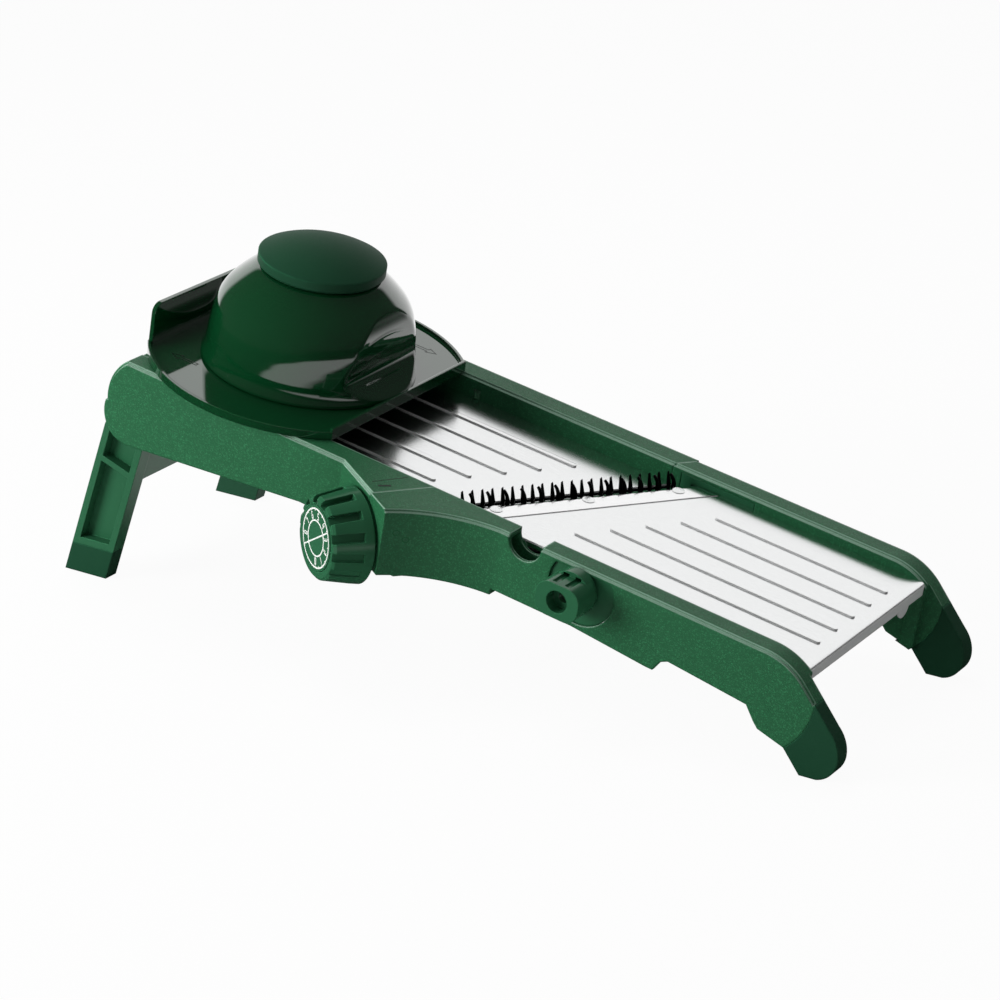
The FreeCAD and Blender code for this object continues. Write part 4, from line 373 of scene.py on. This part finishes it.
def draw_lines(name, lines, width, place, rise, material, body):
    """Piece of flat lines on a surface: place turns u, v and a height, in millimetres, into a point."""
    points, faces = [], []
    for line in lines:
        line = [Vector(point) for point in line]
        closed = (line[0] - line[-1]).length < 0.001
        first = len(points)
        for step, point in enumerate(line):
            before = line[step - 1] if step else (line[-2] if closed else point)
            after = line[step + 1] if step + 1 < len(line) else (line[1] if closed else point)
            run_in = (point - before).normalized() if point != before else (after - point).normalized()
            run_out = (after - point).normalized() if point != after else run_in
            way = (run_in + run_out).normalized()
            # Corners are mitred, to no more than twice the width.
            half = width / 2 / max(way.dot(run_in), 0.5)
            side = Vector((-way.y, way.x)) * half
            for edge, height in ((side, rise), (-side, rise), (-side, -rise), (side, -rise)):
                points.append(place(point.x + edge.x, point.y + edge.y, height))
        for step in range(len(line) - 1):
            low, high = first + 4 * step, first + 4 * step + 4
            faces += [(low + i, low + (i + 1) % 4, high + (i + 1) % 4, high + i) for i in range(4)]
        if not closed:
            last = len(points) - 4
            faces += [(first + 3, first + 2, first + 1, first), (last, last + 1, last + 2, last + 3)]
    return new_piece(name, points, faces, material, body)


class SlicerOperator:
    """What the slicer's operators share."""

    bl_options = {"REGISTER", "UNDO"}

    @property
    def finishes(self):
        """Colour settings of the scene."""
        return bpy.context.scene.slicer_finishes

    @property
    def marks(self):
        """Mark settings of the scene."""
        return bpy.context.scene.slicer_marks


class SLICER_OT_rails(SlicerOperator, bpy.types.Operator):
    """Finish the moulded rails and the parts fixed in them"""

    bl_idname = "slicer.rails"
    bl_label = "Rails"

    def execute(self, context):
        # Pebbled, with painted glints and a painted highlight on its upper edges.
        green = spark_abs("ABS, spark textured", self.finishes.body_green, self.finishes.edge_light)
        dress(green, "near_upper_rail", "far_upper_rail", "near_lower_rail", "far_lower_rail", "rear_handle",
              "rear_tie_bar", "front_tie_bar")
        # Even and satin: soft light and no mirror image.
        smooth = moulded("ABS, satin moulded", self.finishes.satin_green, roughness=0.35, grain=2.0, strength=0.05,
                         rounding=0.6, shine=0.25)
        dress(smooth, "knob_plate", "far_insert", "stand_frame", "dial_disc")
        # Dull, dark and finely grained, with a painted highlight along its rounded upper rims.
        soft = moulded("Thermoplastic rubber, moulded", self.finishes.soft_green, roughness=0.6, grain=0.6,
                       strength=0.25, rounding=1.4, shine=0.15)
        dress(soft, "near_front_foot", "far_front_foot", "near_stand_foot", "far_stand_foot", "plunger_cap")
        return {"FINISHED"}


class SLICER_OT_rail_marks(SlicerOperator, bpy.types.Operator):
    """Make the pointer slot beside the dial, the seam by it and the moulding marks on the curved wall"""

    bl_idname = "slicer.rail_marks"
    bl_label = "Rail marks"

    slot_ends = ((89.1, -73.8), (93.1, -69.1))
    slot_width = 1.4
    seam_ends = ((85.0, -72.6), (93.5, -56.6))
    seam_width = 0.45
    line_rise = 0.05
    # Marks on the curved wall: degrees about its middle, and height. Their radius counts in both.
    moulding_marks = ((132.0, -9.5), (136.0, -6.2))
    mark_radius = 1.3
    mark_width = 0.45
    mark_rise = 0.12

    def execute(self, context):
        # Painted shade: nearly black, as a narrow gap looks.
        ink = moulded("ABS, cut line in shadow", self.finishes.ink, roughness=0.5, grain=1.0, strength=0.1,
                      rounding=0.1)
        draw_lines("pointer_slot", [self.slot_ends], self.slot_width, self.on_top, self.line_rise, ink, "frame")
        draw_lines("cover_seam", [self.seam_ends], self.seam_width, self.on_top, self.line_rise, ink, "frame")
        # Smoother than the wall round it, so the rings just show.
        gloss = moulded("ABS, moulding mark", self.finishes.body_green, roughness=0.25, grain=2.0, strength=0.05,
                        rounding=0.1)
        rings = [circle(self.mark_radius, count=24, middle=mark) for mark in self.moulding_marks]
        draw_lines("moulding_marks", rings, self.mark_width, self.on_flare, self.mark_rise, gloss, "frame")
        return {"FINISHED"}

    def on_top(self, x, y, height):
        """Place on the flat top of a rail."""
        return bench(x, y, RAIL_TOP + height)

    def on_flare(self, u, v, height):
        """Place on the curved wall: u in degrees about its middle, v the height."""
        turn = math.radians(u)
        at = FLARE_MIDDLE + (FLARE_RADIUS - height) * Vector((math.cos(turn), math.sin(turn)))
        return bench(at.x, at.y, v)


class SLICER_OT_steel(SlicerOperator, bpy.types.Operator):
    """Finish the runway, the blade, the cutters and the small steel parts"""

    bl_idname = "slicer.steel"
    bl_label = "Steel"

    def execute(self, context):
        # A blurred mirror with faint lines down the slope.
        runway = brushed_steel("Stainless steel, brushed", self.finishes.steel, roughness=0.2, line=0.5, press=0.84)
        dress(runway, "deck_plate", "lower_runway", "blade_rivets")
        # Brighter and sharper, with finer lines.
        ground = brushed_steel("Stainless steel, ground", self.finishes.blade, roughness=0.14, line=0.35)
        dress(ground, "slicing_blade", "food_pins", "tie_screws", "dome_screws", "stand_pins", "deck_guide_pins",
              "carriage_guides", "dial_shaft", "crank_shaft")
        # Teeth drawn dark, a painted reflection of the dark studio, so that they stand out against the white runway.
        stamped = brushed_steel("Stainless steel, stamped", self.finishes.cutter, roughness=0.35, line=0.5)
        dress(stamped, "julienne_comb", "fry_comb")
        # Plain black that keeps hidden parts from drawing the eye.
        nylon = moulded("Nylon, moulded black", self.finishes.nylon, roughness=0.4, grain=0.8, strength=0.1,
                        rounding=0.4)
        dress(nylon, "blade_bar", "deck_carrier", "cutter_carriage", "dial_bush", "lift_cams", "pusher_disc")
        return {"FINISHED"}


class SLICER_OT_holder(SlicerOperator, bpy.types.Operator):
    """Finish the food holder and the dial, and make the smooth dome with its finger scoops"""

    bl_idname = "slicer.holder"
    bl_label = "Food holder"

    # Steps of the dome's skin: round it, in each span of its side and in each span of a scoop's flat.
    turns = 300
    side_steps = 10
    flat_steps = 8
    wall = 2.5
    # Guide tube, then the foot of the inside: radius, height and how far the scoops are set back.
    tube = ((9.0, 56.8, 0.0), (8.3, 56.6, 0.0), (8.1, 56.0, 0.0), (8.1, 45.3, 0.0), (8.5, 44.8, 0.0),
            (10.6, 44.8, 0.0), (11.0, 45.3, 0.0), (11.0, 53.8, 0.0), (11.6, 54.3, 0.0))
    inside_foot = ((45.4, 18.0, wall), (45.0, 16.0, 0.0), (45.0, 8.1, 0.0))
    # The inside follows the side of the dome from this point of its line upwards.
    inside_start = 8
    # Ridges of a scoop: height of the top one, its bow, its half width, and where its ends fade.
    top_ridge = 38.2
    ridge_bow = 0.009
    ridge_half = 0.5
    ridge_ends = (12.0, 18.0)
    # Arrows: place and way of each, length and half width of the head, and half width of the shaft.
    arrow_places = ((-44.0, -46.5, -1), (24.0, 55.5, 1))
    head_length = 5
    head_half = 2.3
    shaft_half = 0.9
    arrow_rise = 0.05

    def execute(self, context):
        # A deep green mirror: it shows the studio at its rims and the table as a crescent.
        gloss = moulded("ABS, polished", self.finishes.gloss_green, roughness=0.08, grain=6.0, strength=0.01,
                        rounding=0.7, coat=1.0)
        dress(gloss, "holder_plate", "plunger_stem")
        # Glossy enough to draw the flutes in light and dark.
        grip = moulded("ABS, bright moulded", self.finishes.satin_green, roughness=0.2, grain=2.0, strength=0.03,
                       rounding=0.6, shine=0.35)
        dress(grip, "thickness_dial", "cutter_knob")
        dome = self.dome(gloss)
        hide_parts("holder_dome")
        # Dark thin outlines in the polished plate: painted shade in the engraved lines.
        ink = moulded("ABS, engraved line", self.finishes.ink, roughness=0.3, grain=1.0, strength=0.1, rounding=0.1)
        arrows = [self.arrow(*place) for place in self.arrow_places]
        draw_lines("slide_arrows", arrows, self.marks.line_width / MM, self.on_plate, self.arrow_rise, ink,
                   "holder")
        return {"FINISHED"}

    def scoop(self, turn, height, flat):
        """Radius at which a finger scoop cuts the dome, in millimetres."""
        lean = max(abs(math.cos(turn)), 0.01)
        # Past 60 degrees the flat lies outside the dome, and so do its ridges.
        y = flat * math.tan(turn) if lean > 0.5 else 100.0
        for ridge in range(self.marks.ridge_count):
            crest = self.top_ridge - ridge * self.marks.ridge_pitch / MM - self.ridge_bow * y * y
            fade = 1 - ease(abs(y), *self.ridge_ends)
            flat += fade * self.marks.ridge_rise / MM * math.exp(-(((height - crest) / self.ridge_half) ** 2))
        return flat / lean

    def flat_at(self, line, height):
        """Distance from the dome's axis at a height, on the line of a scoop's flat."""
        for low, high in zip(line, line[1:]):
            if height < high.x:
                return low.y + (high.y - low.y) * (height - low.x) / (high.x - low.x)
        return line[-1].y

    def dome(self, material):
        """Closed skin of the dome, its top, its guide tube and its inside."""
        outside = [(point.x, point.y, 0.0) for point in smooth_line(DOME_LINE, self.side_steps)]
        upper = reversed(DOME_LINE[self.inside_start :])
        inside = [(radius - self.wall, height - self.wall, self.wall) for radius, height in upper]
        rows = outside + list(self.tube) + inside + list(self.inside_foot)
        points, faces = [], []
        edge = self.marks.scoop_edge / MM
        flats = smooth_line(SCOOP_LINE, self.flat_steps)
        for radius, height, back in rows:
            flat = self.flat_at(flats, height) - back
            for step in range(self.turns):
                turn = math.tau * step / self.turns
                cut = soft_least(radius, self.scoop(turn, height, flat), edge)
                points.append(bench(HOLDER_X + cut * math.cos(turn), cut * math.sin(turn), height))
        for row in range(len(rows)):
            low, high = row * self.turns, (row + 1) % len(rows) * self.turns
            for step in range(self.turns):
                after = (step + 1) % self.turns
                faces.append((low + step, low + after, high + after, high + step))
        piece = new_piece("food_dome", points, faces, material, "holder")
        piece.data.shade_smooth()
        return piece

    def arrow(self, x, y, way):
        """Outline of an arrow about a place on the plate: way is 1 down the slope and -1 up it."""
        half = self.marks.arrow_length / MM / 2
        neck = half - self.head_length
        shaft, head = self.shaft_half, self.head_half
        shape = ((-half, -shaft), (neck, -shaft), (neck, -head), (half, 0), (neck, head), (neck, shaft),
                 (-half, shaft), (-half, -shaft))
        return [(x + way * u, y + v) for u, v in shape]

    def on_plate(self, x, y, height):
        """Place on the top of the holder plate."""
        return bench(x, y, PLATE_TOP + height)


class SLICER_OT_dial_print(SlicerOperator, bpy.types.Operator):
    """Print rings, ticks and slice thicknesses in millimetres on the dial's disc"""

    bl_idname = "slicer.dial_print"
    bl_label = "Dial print"

    # Strokes of the numbers in a box 1 wide and 1.6 high: each corner is its column (5 is the middle) and its row.
    strokes = {
        "0": ["00 10 12 02 00"],
        "1": ["50 52"],
        "2": ["02 12 11 01 00 10"],
        "3": ["02 12 10 00", "01 11"],
        "4": ["02 01 11", "12 10"],
        "5": ["12 02 01 11 10 00"],
        "6": ["12 02 00 10 11 01"],
        "7": ["02 12 50"],
        "8": ["00 10 12 02 00", "01 11"],
    }
    box_height = 1.6
    rest_thickness = 4.9
    degrees_per_mm = 33.75
    print_rise = 0.04
    outer_ring = 13.6
    inner_ring = 8.2
    ring_width = 0.75
    tick_ends = (12.6, 13.3)
    tick_count = 17
    number_count = 9
    number_ring = 10.6
    number_narrow = 0.62
    bar_ends = ((-10.4, -8.4), (10.4, 8.4))
    bar_width = 0.7

    def execute(self, context):
        # Flat and white, so that it reads against the green disc.
        white = moulded("Ink, pad printed white", self.finishes.print_white, roughness=0.45, grain=0.8, strength=0.1,
                        rounding=0.05)
        rings = [circle(self.outer_ring, count=72), circle(self.inner_ring, count=48)]
        self.print_lines("dial_rings", rings, self.ring_width, white)
        marks = [self.spoke(step / 2, *self.tick_ends) for step in range(self.tick_count)]
        for number in range(self.number_count):
            marks += self.number(number)
        self.print_lines("dial_numbers", marks, self.marks.line_width / MM, white)
        self.print_lines("dial_bar", [self.bar_ends], self.bar_width, white)
        return {"FINISHED"}

    def print_lines(self, name, lines, width, material):
        """Piece of printed lines on the disc."""
        return draw_lines(name, lines, width, self.on_disc, self.print_rise, material, "dial")

    def turn_of(self, thickness):
        """Angle of a thickness on the disc, from straight up."""
        return math.radians((thickness - self.rest_thickness) * self.degrees_per_mm) + math.pi / 2

    def spoke(self, thickness, inner, outer):
        """Short line across the ring at a thickness."""
        turn = self.turn_of(thickness)
        return [(inner * math.cos(turn), inner * math.sin(turn)), (outer * math.cos(turn), outer * math.sin(turn))]

    def number(self, value):
        """Lines of one number, upright on the ring."""
        turn = self.turn_of(value)
        out = Vector((math.cos(turn), math.sin(turn)))
        along = Vector((out.y, -out.x))
        scale = self.marks.digit_height / MM / self.box_height
        half_height = self.box_height / 2
        lines = []
        for stroke in self.strokes[str(value)]:
            line = []
            for corner in stroke.split():
                across = (0.5 if corner[0] == "5" else float(corner[0])) - 0.5
                up = float(corner[1]) * half_height - half_height
                line.append(out * self.number_ring + (along * across * self.number_narrow + out * up) * scale)
            lines.append([tuple(point) for point in line])
        return lines

    def on_disc(self, u, v, height):
        """Place on the front of the disc, u to the right and v up."""
        up = (LIFT - LIFT.dot(DIAL_AXIS) * DIAL_AXIS).normalized()
        right = up.cross(DIAL_AXIS)
        front = reach("dial_disc", DIAL_POINT, DIAL_AXIS)
        return DIAL_POINT + DIAL_AXIS * (front + height * MM) + (right * u + up * v) * MM


class SLICER_OT_studio(SlicerOperator, bpy.types.Operator):
    """Set the floor, the lights, the white tent and the camera"""

    bl_idname = "slicer.studio"
    bl_label = "Studio"

    # Level way from the object to the camera's side of the studio, which is dark.
    front = (0.5, -0.866, 0.0)
    # Middle of the lit table top, which ends half a metre from there.
    table_middle = (0.1, -0.17, 0.0)
    key_place = (-1.0, -1.05, 0.5)
    key_size = 0.8
    top_place = (-0.39, 0.2, 1.25)
    top_size = 0.6
    lamp_aim = (0, 0, 0.06)
    floor_half = 3.0
    floor_drop = -0.2 * MM
    # Share of the floor that is plain white to the camera; the rest takes light and keeps the shadow.
    floor_white = 0.95

    def execute(self, context):
        settings = context.scene.slicer_studio
        self.floor()
        self.tent(settings)
        self.softbox("key_softbox", self.key_place, self.key_size, settings.key_power)
        self.softbox("top_softbox", self.top_place, self.top_size, settings.top_power)
        self.camera(settings)
        context.scene.view_settings.view_transform = "Standard"
        return {"FINISHED"}

    def floor(self):
        """Pale floor that keeps a soft shadow; in reflections it is bright behind, and as a table top in front."""
        half, drop = self.floor_half, self.floor_drop
        mesh = bpy.data.meshes.new("floor")
        mesh.from_pydata([(-half, -half, drop), (half, -half, drop), (half, half, drop), (-half, half, drop)], [],
                         [(0, 1, 2, 3)])
        # Even and without gloss, with the faintest fibre.
        material, tree = new_material("Paper, matt white")
        place = add(tree, "ShaderNodeTexCoord").outputs["Object"]
        fibre = add(tree, "ShaderNodeTexNoise", {"Vector": place, "Scale": per_mm(3.0)})
        tone = add(tree, "ShaderNodeMapRange", {"Value": fibre.outputs["Fac"], "To Min": 0.98, "To Max": 1.0})
        tint = add(tree, "ShaderNodeHueSaturation", {"Color": linear("#f4f4f4"), "Value": tone.outputs[0]})
        matt = add(tree, "ShaderNodeBsdfDiffuse", {"Color": tint.outputs[0]})
        white = add(tree, "ShaderNodeEmission", {"Color": WHITE, "Strength": 1.0})
        path = add(tree, "ShaderNodeLightPath")
        share = add(tree, "ShaderNodeMath", {0: plain_rays(tree, path), 1: self.floor_white}, operation="MULTIPLY")
        seen = add(tree, "ShaderNodeMixShader", {0: share.outputs[0], 1: matt.outputs[0], 2: white.outputs[0]})
        way = add(tree, "ShaderNodeVectorMath", {0: place}, operation="NORMALIZE")
        front = add(tree, "ShaderNodeVectorMath", {0: way.outputs[0], 1: self.front}, operation="DOT_PRODUCT")
        behind = add(tree, "ShaderNodeMapRange", {"Value": front.outputs["Value"], "From Min": -0.6,
                                                  "From Max": -0.4, "To Min": 1.0, "To Max": 0.02})
        away = add(tree, "ShaderNodeVectorMath", {0: place, 1: self.table_middle}, operation="DISTANCE")
        table = add(tree, "ShaderNodeMapRange", {"Value": away.outputs["Value"], "From Min": 0.47, "From Max": 0.53,
                                                 "To Min": 1.0, "To Max": 0.0})
        ahead = add(tree, "ShaderNodeVectorMath", {0: place, 1: self.front}, operation="DOT_PRODUCT")
        clear = add(tree, "ShaderNodeMapRange", {"Value": ahead.outputs["Value"], "From Min": 0.25,
                                                 "From Max": 0.3})
        lit = add(tree, "ShaderNodeMath", {0: table.outputs[0], 1: clear.outputs[0]}, operation="MULTIPLY")
        glow = add(tree, "ShaderNodeMath", {0: behind.outputs[0], 1: lit.outputs[0]}, operation="MAXIMUM")
        mirrored = add(tree, "ShaderNodeEmission", {"Color": WHITE, "Strength": glow.outputs[0]})
        mixed = add(tree, "ShaderNodeMixShader", {0: path.outputs["Is Glossy Ray"], 1: seen.outputs[0],
                                                  2: mirrored.outputs[0]})
        add(tree, "ShaderNodeOutputMaterial", {"Surface": mixed.outputs[0]})
        mesh.materials.append(material)
        floor = bpy.data.objects.new("floor", mesh)
        bpy.context.collection.objects.link(floor)

    def tent(self, settings):
        """White to the camera; to the object a soft tent, and in reflections a white sweep behind it."""
        world = bpy.data.worlds.new("Studio")
        bpy.context.scene.world = world
        world.use_nodes = True
        tree = world.node_tree
        tree.nodes.clear()
        way = add(tree, "ShaderNodeTexCoord").outputs["Generated"]
        parts = add(tree, "ShaderNodeSeparateXYZ", {"Vector": way})
        glow = add(tree, "ShaderNodeMapRange", {"Value": parts.outputs["Z"], "From Min": -0.05, "From Max": 0.5,
                                                "To Min": 0.03, "To Max": settings.tent},
                   interpolation_type="SMOOTHSTEP")
        front = add(tree, "ShaderNodeVectorMath", {0: way, 1: self.front}, operation="DOT_PRODUCT")
        sweep = add(tree, "ShaderNodeMapRange", {"Value": front.outputs["Value"], "From Min": -0.74,
                                                 "From Max": -0.64, "To Min": settings.sweep, "To Max": 0.05},
                    interpolation_type="SMOOTHSTEP")
        inside = add(tree, "ShaderNodeBackground", {"Color": WHITE, "Strength": glow.outputs[0]})
        mirrored = add(tree, "ShaderNodeBackground", {"Color": WHITE, "Strength": sweep.outputs[0]})
        outside = add(tree, "ShaderNodeBackground", {"Color": WHITE, "Strength": 1.0})
        path = add(tree, "ShaderNodeLightPath")
        lit = add(tree, "ShaderNodeMixShader", {0: path.outputs["Is Glossy Ray"], 1: inside.outputs[0],
                                                2: mirrored.outputs[0]})
        mixed = add(tree, "ShaderNodeMixShader", {0: plain_rays(tree, path), 1: lit.outputs[0],
                                                  2: outside.outputs[0]})
        add(tree, "ShaderNodeOutputWorld", {"Surface": mixed.outputs[0]})

    def softbox(self, name, place, size, power):
        """Square lamp that faces the middle of the object and doesn't show in reflections."""
        lamp = bpy.data.lights.new(name, "AREA")
        lamp.energy = power
        lamp.size = size
        light = bpy.data.objects.new(name, lamp)
        light.location = place
        light.rotation_euler = (Vector(self.lamp_aim) - light.location).to_track_quat("-Z", "Y").to_euler()
        light.visible_glossy = False
        bpy.context.collection.objects.link(light)

    def camera(self, settings):
        """Camera at the photograph's viewing angle."""
        data = bpy.data.cameras.new("camera")
        data.lens = settings.lens
        camera = bpy.data.objects.new("camera", data)
        away = Vector((math.sin(settings.azimuth) * math.cos(settings.elevation),
                       -math.cos(settings.azimuth) * math.cos(settings.elevation), math.sin(settings.elevation)))
        camera.location = Vector(settings.target) + away * settings.distance
        camera.rotation_euler = (-away).to_track_quat("-Z", "Y").to_euler()
        bpy.context.collection.objects.link(camera)
        bpy.context.scene.camera = camera


PIECES = (SLICER_OT_rails, SLICER_OT_rail_marks, SLICER_OT_steel, SLICER_OT_holder, SLICER_OT_dial_print,
          SLICER_OT_studio)


class SLICER_PT_panel(bpy.types.Panel):
    """Buttons for the slicer's pieces"""

    bl_label = "Mandoline slicer"
    bl_idname = "SLICER_PT_panel"
    bl_space_type = "VIEW_3D"
    bl_region_type = "UI"
    bl_category = "Slicer"

    def draw(self, context):
        for piece in PIECES:
            self.layout.operator(piece.bl_idname)


GROUPS = {"slicer_finishes": SlicerFinishes, "slicer_marks": SlicerMarks, "slicer_studio": SlicerStudio}


def register():
    """Register the settings, the operators and the panel."""
    for name, group in GROUPS.items():
        bpy.utils.register_class(group)
        setattr(bpy.types.Scene, name, PointerProperty(type=group))
    for piece in PIECES + (SLICER_PT_panel,):
        bpy.utils.register_class(piece)


def unregister():
    """Take all of it out again."""
    for piece in PIECES + (SLICER_PT_panel,):
        bpy.utils.unregister_class(piece)
    for name, group in GROUPS.items():
        delattr(bpy.types.Scene, name)
        bpy.utils.unregister_class(group)


def main():
    """Make every piece and the studio."""
    register()
    bpy.ops.slicer.rails()
    bpy.ops.slicer.rail_marks()
    bpy.ops.slicer.steel()
    bpy.ops.slicer.holder()
    bpy.ops.slicer.dial_print()
    bpy.ops.slicer.studio()


if __name__ == "__main__":
    main()
